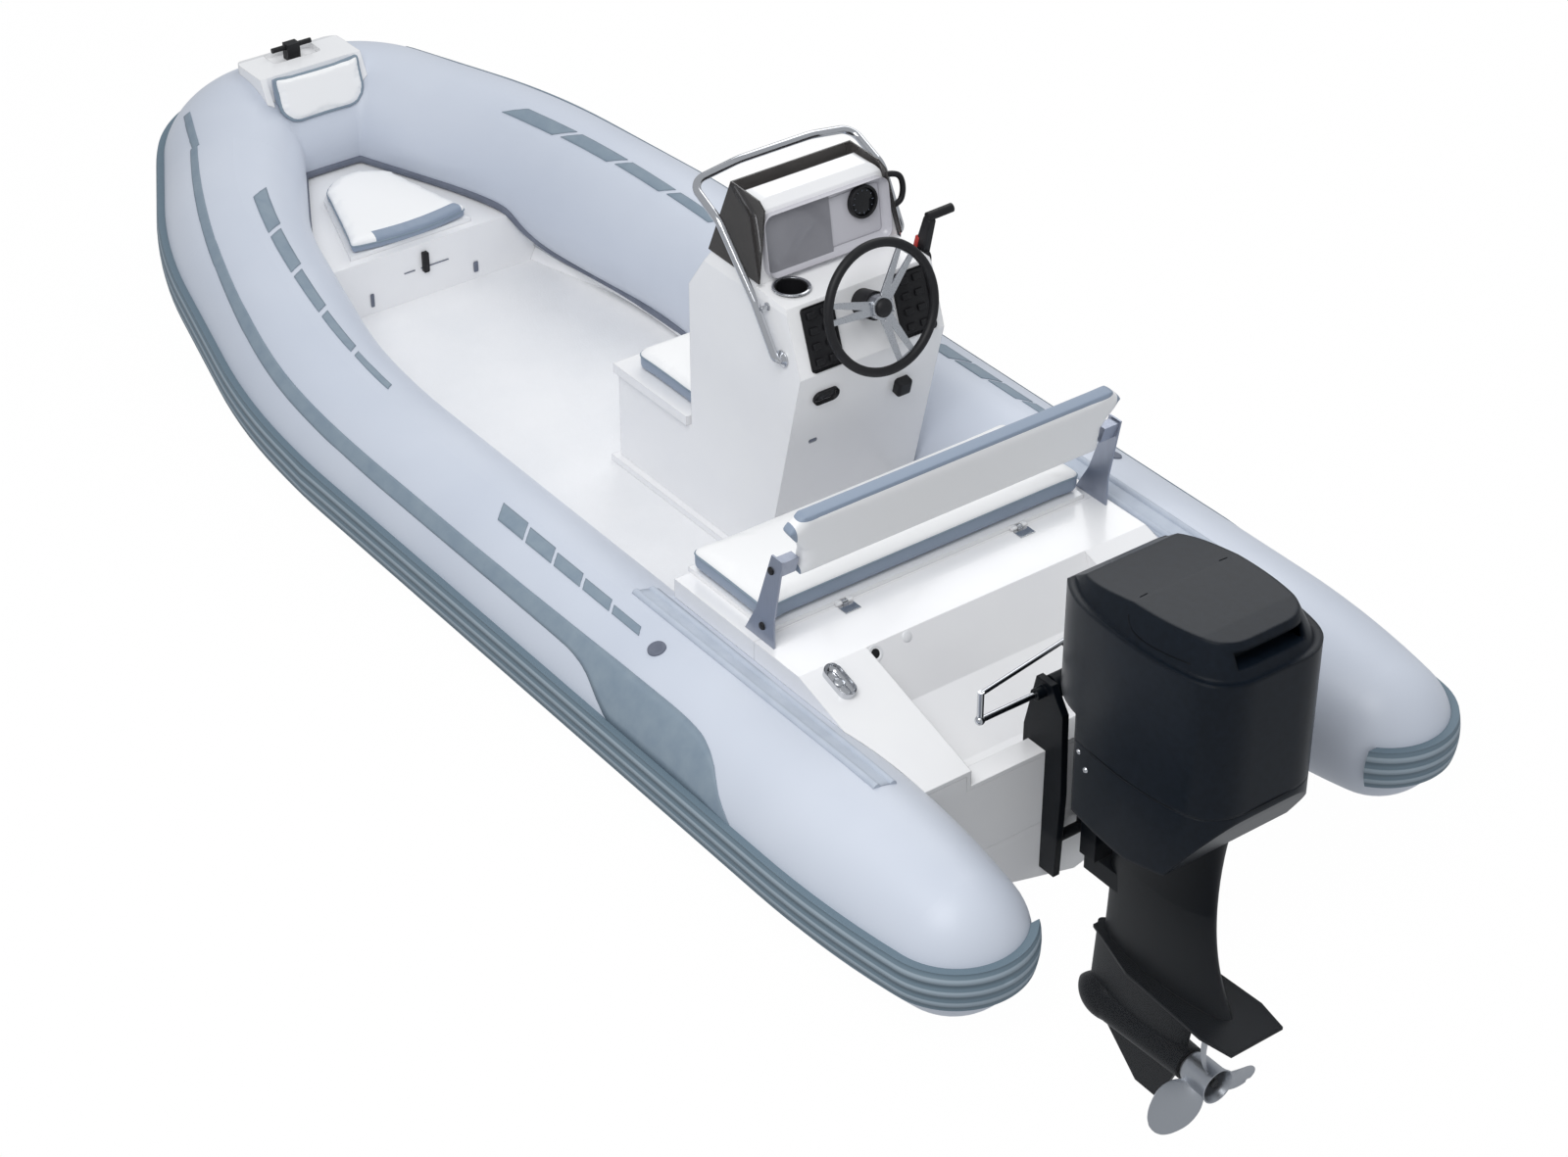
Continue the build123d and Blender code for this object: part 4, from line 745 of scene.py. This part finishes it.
def backrest():
    origin = Vector((0.592, 0, 0.661))

    def inside(p):
        rise = (Vector(p) - origin).dot(BACK_UP)
        half = 0.53 + 0.056 * rise / 0.235 - 0.022
        return min(half - abs(p[1]), 0.235 - 0.024 - rise, rise - 0.004)

    upholster("backrest", "bench_backrest", "boat", 0.007, 0.007, (0.006, 0.007, 0.006), inside)


bench_cushion()
console_cushion()
bow_cushion()
bow_pad()
backrest()


# Console and helm


def aft_face_point(z):
    """x of the console's sloping aft face at a height above its knee."""
    return 1.217 + (z - 0.779) * (1.288 - 1.217) / (0.977 - 0.779)


AFT_NORMAL = (-0.94, 0, 0.337)
LOW_NORMAL = (-0.974, 0, -0.228)
DASH_NORMAL = (-0.986, 0, 0.164)


def helm_panels():
    """Grey dash facing, the two black switch plates with their rockers, and the socket below."""
    facing = plate((0.44, 0.188, 0.004), (1.4525, CONSOLE_MIDDLE_Y, 1.091), DASH_NORMAL, 0.03, 0.0015)
    seat(facing, "dash_facing", DASH_GELCOAT, "boat")
    for name, y, width in (("switch_plate", -0.07, 0.112), ("gauge_plate", -0.4, 0.125)):
        centre = (aft_face_point(0.876), y, 0.876)
        backing = plate((width, 0.192, 0.006), centre, AFT_NORMAL, 0.012, 0.002)
        seat(backing, name, BLACK, "boat")
        for row in range(4):
            for column in (-1, 1):
                z = 0.812 + 0.043 * row
                spot = Vector((aft_face_point(z), y + column * 0.024, z)) + Vector(AFT_NORMAL) * 0.006
                rocker = plate((0.03, 0.02, 0.009), spot, AFT_NORMAL, 0.004, 0.002)
                word = "port" if column > 0 else "starboard"
                seat(rocker, f"{name}_rocker_{row + 1}_{word}", BLACK, "boat")
    socket = plate((0.088, 0.044, 0.012), (1.2385, -0.074, 0.688), LOW_NORMAL, 0.02, 0.004)
    seat(socket, "power_socket", BLACK, "boat")
    lock = plate((0.03, 0.014, 0.006), (1.2785, -0.06, 0.52), LOW_NORMAL, 0.006, 0.002)
    seat(lock, "key_plate", TRIM, "boat")
    clamp = plate((0.05, 0.055, 0.05), (1.252, -0.362, 0.612), LOW_NORMAL, 0.01, 0.006)
    seat(clamp, "throttle_clamp", BLACK, "boat")


def cup_liner():
    """Black cup with a steel rim in the dash shelf."""
    profile = [(0.0, -0.082), (0.03, -0.082), (0.04, -0.076), (0.044, -0.03), (0.0445, 0.0), (0.05, 0.003),
               (0.0525, 0.0015), (0.0525, 0.0), (0.0455, -0.001), (0.0452, -0.03), (0.041, -0.08),
               (0.03, -0.0845), (0.0, -0.0845)]
    seat(turned(profile, (1.373, -0.054, 0.986), (0, 0, 1)), "cup_liner", BLACK, "boat")
    ring = [(0.048, 0.0025), (0.052, 0.0045), (0.0565, 0.003), (0.058, 0.0), (0.048, 0.0005), (0.048, 0.0025)]
    seat(turned(ring, (1.373, -0.054, 0.986), (0, 0, 1)), "cup_rim", STEEL, "boat")


def grab_handle():
    """Black grab loop beside the screen on the starboard side."""
    points = [(1.476, -0.468, 1.17), (1.474, -0.5, 1.165), (1.47, -0.52, 1.15), (1.463, -0.524, 1.12),
              (1.459, -0.518, 1.09), (1.457, -0.505, 1.076), (1.457, -0.485, 1.072)]
    seat(bead(points, 0.009), "grab_handle", BLACK, "boat")


def wheel_boss():
    """Domed cap and screws in the middle of the steering wheel."""
    axis = Vector((-math.cos(WHEEL_RAKE), 0, math.sin(WHEEL_RAKE)))
    profile = [(0.0, 0.012), (0.014, 0.011), (0.024, 0.006), (0.028, 0.0), (0.028, -0.01), (0.0, -0.01)]
    cap = turned(profile, WHEEL_HUB + axis * 0.012, axis)
    seat(cap, "wheel_cap", BLACK, "steering_wheel")
    side = Vector((0, 1, 0))
    up = axis.cross(side)
    head = [(0.0, 0.0035), (0.003, 0.003), (0.0042, 0.0), (0.0, 0.0)]
    for i in range(6):
        angle = math.radians(60 * i + 30)
        spot = WHEEL_HUB + axis * 0.008 + side * (0.037 * math.cos(angle)) + up * (0.037 * math.sin(angle))
        seat(turned(head, spot, axis, 12), f"wheel_screw_{i + 1}", STEEL, "steering_wheel")


def rail_flanges():
    """Round feet where the console's hand rail is screwed down."""
    profile = [(0.0125, 0.012), (0.017, 0.01), (0.02, 0.006), (0.026, 0.004), (0.026, 0.0), (0.0125, 0.0),
               (0.0125, 0.012)]
    for i, (x, y, z, out) in enumerate(((1.3, 0.031, 0.815, 1), (1.455, -0.489, 0.984, -1))):
        seat(turned(profile, (x, y, z), (0, out, 0)), f"rail_foot_{i + 1}", STEEL, "boat")
    stub = [(0.0, 0.024), (0.005, 0.024), (0.006, 0.022), (0.006, 0.004), (0.012, 0.003), (0.0125, 0.0),
            (0.0, 0.0)]
    seat(turned(stub, (1.3715, 0.0303, 0.952), (0, 1, 0), 24), "rail_stub", STEEL, "boat")


def compass_card():
    """Domed dial and bezel of the compass, with plain white marks every 30 degrees."""
    middle = Vector((1.4443, -0.365, 1.1273))
    out = Vector(DASH_NORMAL).normalized()
    rim = [(0.0415, 0.0), (0.0425, 0.004), (0.046, 0.005), (0.0495, 0.003), (0.05, 0.0), (0.0415, 0.0)]
    seat(turned(rim, middle, out, 48), "compass_bezel", BLACK, "boat")
    dome = [(0.0, 0.0), (0.015, -0.0005), (0.03, -0.002), (0.0425, -0.0045), (0.0, -0.0048)]
    seat(turned(dome, middle, out, 48), "compass_card", DISPLAY_BLACK, "boat")
    side = Vector((0, 0, 1)).cross(out).normalized()
    rise = out.cross(side)
    for i in range(12):
        angle = math.radians(30 * i)
        reach = side * math.cos(angle) + rise * math.sin(angle)
        spot = middle + reach * 0.034 - out * 0.0018
        size = (0.0016, 0.007 if i % 3 == 0 else 0.004, 0.002)
        seat(plate(size, spot, out, 0.0004, 0.0002, up=reach), f"compass_mark_{i + 1}", TRIM, "boat")


def lever_sleeve():
    """Broad moulded sleeve over the throttle's lever, widest at its foot."""
    foot = Vector((1.366, -0.5163, 0.938))
    tip = Vector((1.3325, -0.5203, 1.074))
    axis = (tip - foot).normalized()
    side = Vector((1, 0, 0))
    fore = axis.cross(side).normalized()
    side = fore.cross(axis)
    bpy.ops.object.select_all(action="DESELECT")
    bpy.ops.mesh.primitive_cube_add(size=1)
    piece = bpy.context.object
    length = (tip - foot).length
    for point in piece.data.vertices:
        rise = point.co.z + 0.5
        wide = 0.046 - 0.014 * rise
        deep = 0.03 - 0.003 * rise
        point.co = foot + axis * (length * rise) + side * (point.co.x * wide) + fore * (point.co.y * deep)
    apply_modifier(piece, "BEVEL", width=0.006, segments=3, limit_method="ANGLE",
                   angle_limit=math.radians(60))
    tidy_mesh(piece)
    seat(piece, "lever_sleeve", BLACK, "boat")


def throttle_band():
    """Red safety band low on the throttle lever."""
    foot = Vector((1.362, -0.511, 0.935))
    tip = Vector((1.332, -0.52, 1.08))
    axis = (tip - foot).normalized()
    spot = foot + axis * 0.048 + Vector((0.019, -0.003, 0))
    seat(plate((0.034, 0.018, 0.045), spot, axis, 0.005, 0.002, up=(1, 0, 0)), "throttle_band", RED, "boat")


helm_panels()
cup_liner()
grab_handle()
wheel_boss()
rail_flanges()
compass_card()
lever_sleeve()
throttle_band()


# Deck fittings


def deck_fittings():
    """Filler plate, drain, vent, and the small bow locker fittings."""
    slope = (-0.29, 0, 0.957)
    filler = plate((0.05, 0.115, 0.006), (0.384, 0.526, 0.4335), slope, 0.024, 0.002, up=(1, 0, 0))
    seat(filler, "filler_plate", STEEL, "boat")
    cap = [(0.0, 0.004), (0.012, 0.004), (0.015, 0.002), (0.016, 0.0), (0.0, 0.0)]
    seat(turned(cap, (0.384, 0.526, 0.4365), slope), "filler_cap", SPOKE, "boat")
    ring = [(0.0, -0.001), (0.015, -0.001), (0.017, 0.004), (0.023, 0.004), (0.025, 0.0), (0.0, -0.003)]
    well = (-0.87, 0, 0.49)
    seat(turned(ring, (0.4395, 0.3625, 0.428), well), "drain_ring", WHITE_PLASTIC, "boat")
    plug = [(0.0, 0.002), (0.013, 0.002), (0.015, 0.0), (0.0, 0.0)]
    seat(turned(plug, (0.4385, 0.3625, 0.4285), well), "drain_hole", BLACK, "boat")
    seat(turned(cap, (0.4415, 0.253, 0.436), well), "vent_cap", WHITE_PLASTIC, "boat")
    for i, (y, z, width, height) in enumerate(((-0.225, 0.086, 0.018, 0.04), (0.182, 0.092, 0.014, 0.05))):
        fitting = plate((width, height, 0.008), (3.397, y, z), (-1, 0, 0), 0.005, 0.002)
        seat(fitting, f"locker_fitting_{i + 1}", TRIM, "boat")


def locker_seam():
    """The fine joint beside the locker's latch."""
    for i, (y0, y1) in enumerate(((0.053, 0.012), (-0.012, -0.12))):
        points = [(3.3985, y0, 0.15), (3.3985, (y0 + y1) / 2, 0.15), (3.3985, y1, 0.15)]
        seat(bead(points, 0.002), f"locker_seam_{i + 1}", TRIM, "boat")


def bracket_pivots():
    """Dark pivot bolts on the backrest's end brackets."""
    head = [(0.0, 0.006), (0.008, 0.006), (0.011, 0.004), (0.012, 0.0), (0.0, 0.0)]
    for side, word in ((1, "port"), (-1, "starboard")):
        for i, (x, z) in enumerate(((0.6, 0.7), (0.64, 0.5))):
            bolt = turned(head, (x, side * 0.589, z), (0, side, 0), 24)
            seat(bolt, f"bracket_pivot_{word}_{i + 1}", BLACK, "boat")


deck_fittings()
locker_seam()
bracket_pivots()


# Motor


def cowl_lines():
    """The rubber seal round the cowl's joint, and the fine joint of its top panel."""
    upper = nodes["cowl_upper"]
    seal = [(-0.2, 0.21), (-0.27, 0.224), (-0.42, 0.23), (-0.565, 0.215), (-0.65, 0.182), (-0.688, 0.12),
            (-0.692, 0.0)]
    loop = [(x, y, 0.4705) for x, y in seal] + [(x, -y, 0.4705) for x, y in reversed(seal[:-1])]
    seat(bead(loop, 0.0035, onto=upper), "cowl_seal", CASTING, "motor")
    for side, word in ((1, "port"), (-1, "starboard")):
        points = [(-0.33, side * 0.12, 0.955), (-0.335, side * 0.165, 0.945), (-0.345, side * 0.195, 0.91),
                  (-0.39, side * 0.208, 0.892), (-0.5, side * 0.2, 0.895), (-0.6, side * 0.165, 0.9)]
        seat(bead(points, 0.0016, onto=upper), "cowl_panel_joint_" + word, CASTING, "motor")


def cowl_latch():
    """Bright latch and tell-tale at the front of the lower cowl."""
    knob = [(0.0, 0.008), (0.006, 0.007), (0.009, 0.003), (0.009, 0.0), (0.0, 0.0)]
    for i, (x, y, z) in enumerate(((-0.225, 0.214, 0.44), (-0.26, 0.221, 0.405))):
        seat(turned(knob, (x, y, z), (0.2, 0.98, 0), 20), f"cowl_stud_{i + 1}", STEEL, "motor")


PROP_CENTRE = Vector((-0.565, 0.0, -0.55))
BLADE_TURN = -122
PROP_PITCH = 0.48
HUB_R = 0.048
BLADE_ROOT = 0.043
BLADE_TIP = 0.205
TIP_CHORD = 0.018
ROOT_WALL = 0.008
# Chord and thickness by radius
BLADE_CHORD = ((0.205, 0.03), (0.197, 0.074), (0.176, 0.116), (0.137, 0.142), (0.09, 0.122), (0.044, 0.072))
BLADE_WALL = ((0.205, 0.0016), (0.137, 0.0048), (0.044, 0.008))


def propeller_blade(turn):
    """One pitched blade with a rounded tip, a thick root and fine edges."""
    spin = Matrix.Rotation(math.radians(turn), 3, "X")
    walls = []

    def place(u, v):
        # stations crowd towards the tip, which keeps it round
        radius = BLADE_ROOT + (BLADE_TIP - BLADE_ROOT) * (1 - (1 - min(u, 1.0)) ** 1.6)
        chord = TIP_CHORD if u > 0.999 else along_table(BLADE_CHORD, radius)
        pitch = math.atan(PROP_PITCH / (2 * math.pi * radius))
        across = (v - 0.5) * chord - 0.02 * (radius - HUB_R) / (BLADE_TIP - HUB_R)
        camber = 0.004 * (1 - (2 * v - 1) ** 2)
        sweep = across * math.cos(pitch) / radius
        walls.append(along_table(BLADE_WALL, radius) / ROOT_WALL * (1 - 0.7 * abs(2 * v - 1) ** 3))
        x = camber - across * math.sin(pitch) - 0.04 * (radius - HUB_R)
        return PROP_CENTRE + spin @ Vector((x, radius * math.sin(sweep), radius * math.cos(sweep)))

    piece = shaped_grid(28, 14, place)
    # the wall's group thins the blade towards its tip and its edges
    layer = piece.vertex_groups.new(name="wall")
    for point, wall in zip(piece.data.vertices, walls):
        layer.add([point.index], wall, "REPLACE")
    tidy_mesh(piece)
    apply_modifier(piece, "SOLIDIFY", thickness=ROOT_WALL, offset=0.0, vertex_group="wall")
    apply_modifier(piece, "BEVEL", width=0.0007, segments=2, limit_method="ANGLE",
                   angle_limit=math.radians(50))
    tidy_mesh(piece, angle=50)
    return piece


def propeller():
    """Cast propeller: a flared hub that the exhaust leaves through, and three broad blades."""
    hub = [(0.0135, 0.054), (0.042, 0.054), (0.0455, 0.045), (0.0475, 0.03), (0.048, -0.03), (0.0505, -0.044),
           (0.054, -0.054), (0.0505, -0.054), (0.043, -0.04), (0.041, -0.028), (0.039, 0.018), (0.0135, 0.02),
           (0.0135, 0.054)]
    pieces = [turned(hub, PROP_CENTRE, (1, 0, 0), 64)]
    pieces += [propeller_blade(BLADE_TURN + turn) for turn in (0, 120, 240)]
    bpy.ops.object.select_all(action="DESELECT")
    for piece in pieces:
        piece.select_set(True)
    bpy.context.view_layer.objects.active = pieces[0]
    bpy.ops.object.join()
    joined = bpy.context.object
    seat(joined, "cast_propeller", BRONZE_GREY, "propeller")
    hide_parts("propeller")


cowl_lines()
cowl_latch()
propeller()


# Camera, floor and light


def set_camera():
    camera = bpy.data.objects.new("camera", bpy.data.cameras.new("camera"))
    camera.location = (-5.216, 4.869, 5.650)
    camera.rotation_euler = (math.radians(55.44), 0, math.radians(-126.62))
    camera.data.lens = 76.5
    camera.data.sensor_width = 36
    camera.data.clip_end = 200
    bpy.context.scene.collection.objects.link(camera)
    bpy.context.scene.camera = camera


def clear_water():
    """The floor at the waterline: pale and mostly see-through, so that the whole hull and motor show."""
    material = bpy.data.materials.new("clear_pale_floor")
    material.use_nodes = True
    tree = material.node_tree
    shader = tree.nodes["Principled BSDF"]
    shader.inputs["Base Color"].default_value = linear("FFFFFF")
    shader.inputs["Roughness"].default_value = 1.0
    shader.inputs["Specular IOR Level"].default_value = 0.0
    clear = add_node(tree, "ShaderNodeBsdfTransparent")
    mix = add_node(tree, "ShaderNodeMixShader", {0: 0.012, 1: clear.outputs[0], 2: shader.outputs[0]})
    tree.links.new(mix.outputs[0], tree.nodes["Material Output"].inputs["Surface"])
    return material


LAMP_SIZE = 4.0


def set_stage():
    """White surroundings, a clear floor at the waterline and soft studio lamps."""
    bpy.ops.object.select_all(action="DESELECT")
    bpy.ops.mesh.primitive_plane_add(size=60)
    floor = bpy.context.object
    floor.name = "water_floor"
    floor.data.materials.append(clear_water())
    world = bpy.data.worlds.new("studio")
    bpy.context.scene.world = world
    world.use_nodes = True
    tree = world.node_tree
    light = tree.nodes["Background"]
    light.inputs["Color"].default_value = linear("F4F7FB")
    light.inputs["Strength"].default_value = 0.56
    white = add_node(tree, "ShaderNodeBackground", {"Color": (1.0, 1.0, 1.0, 1.0), "Strength": 1.0})
    path = add_node(tree, "ShaderNodeLightPath")
    seen = add_node(tree, "ShaderNodeMath", {0: path.outputs["Is Camera Ray"],
                                             1: path.outputs["Is Transmission Ray"]}, operation="MAXIMUM")
    mix = add_node(tree, "ShaderNodeMixShader",
                   {0: seen.outputs[0], 1: light.outputs[0], 2: white.outputs[0]})
    tree.links.new(mix.outputs[0], tree.nodes["World Output"].inputs["Surface"])
    for name, place, power in (("key", (-1.0, 3.5, 6.5), 262), ("fill", (4.5, -4.0, 5.0), 95)):
        lamp = bpy.data.lights.new(name, "AREA")
        lamp.size = LAMP_SIZE
        lamp.energy = power
        holder = bpy.data.objects.new(name, lamp)
        holder.location = place
        aim = Vector((1.8, 0, 0.3)) - Vector(place)
        holder.rotation_euler = aim.to_track_quat("-Z", "Y").to_euler()
        bpy.context.scene.collection.objects.link(holder)
    bpy.context.scene.view_settings.view_transform = "Standard"


set_camera()
set_stage()
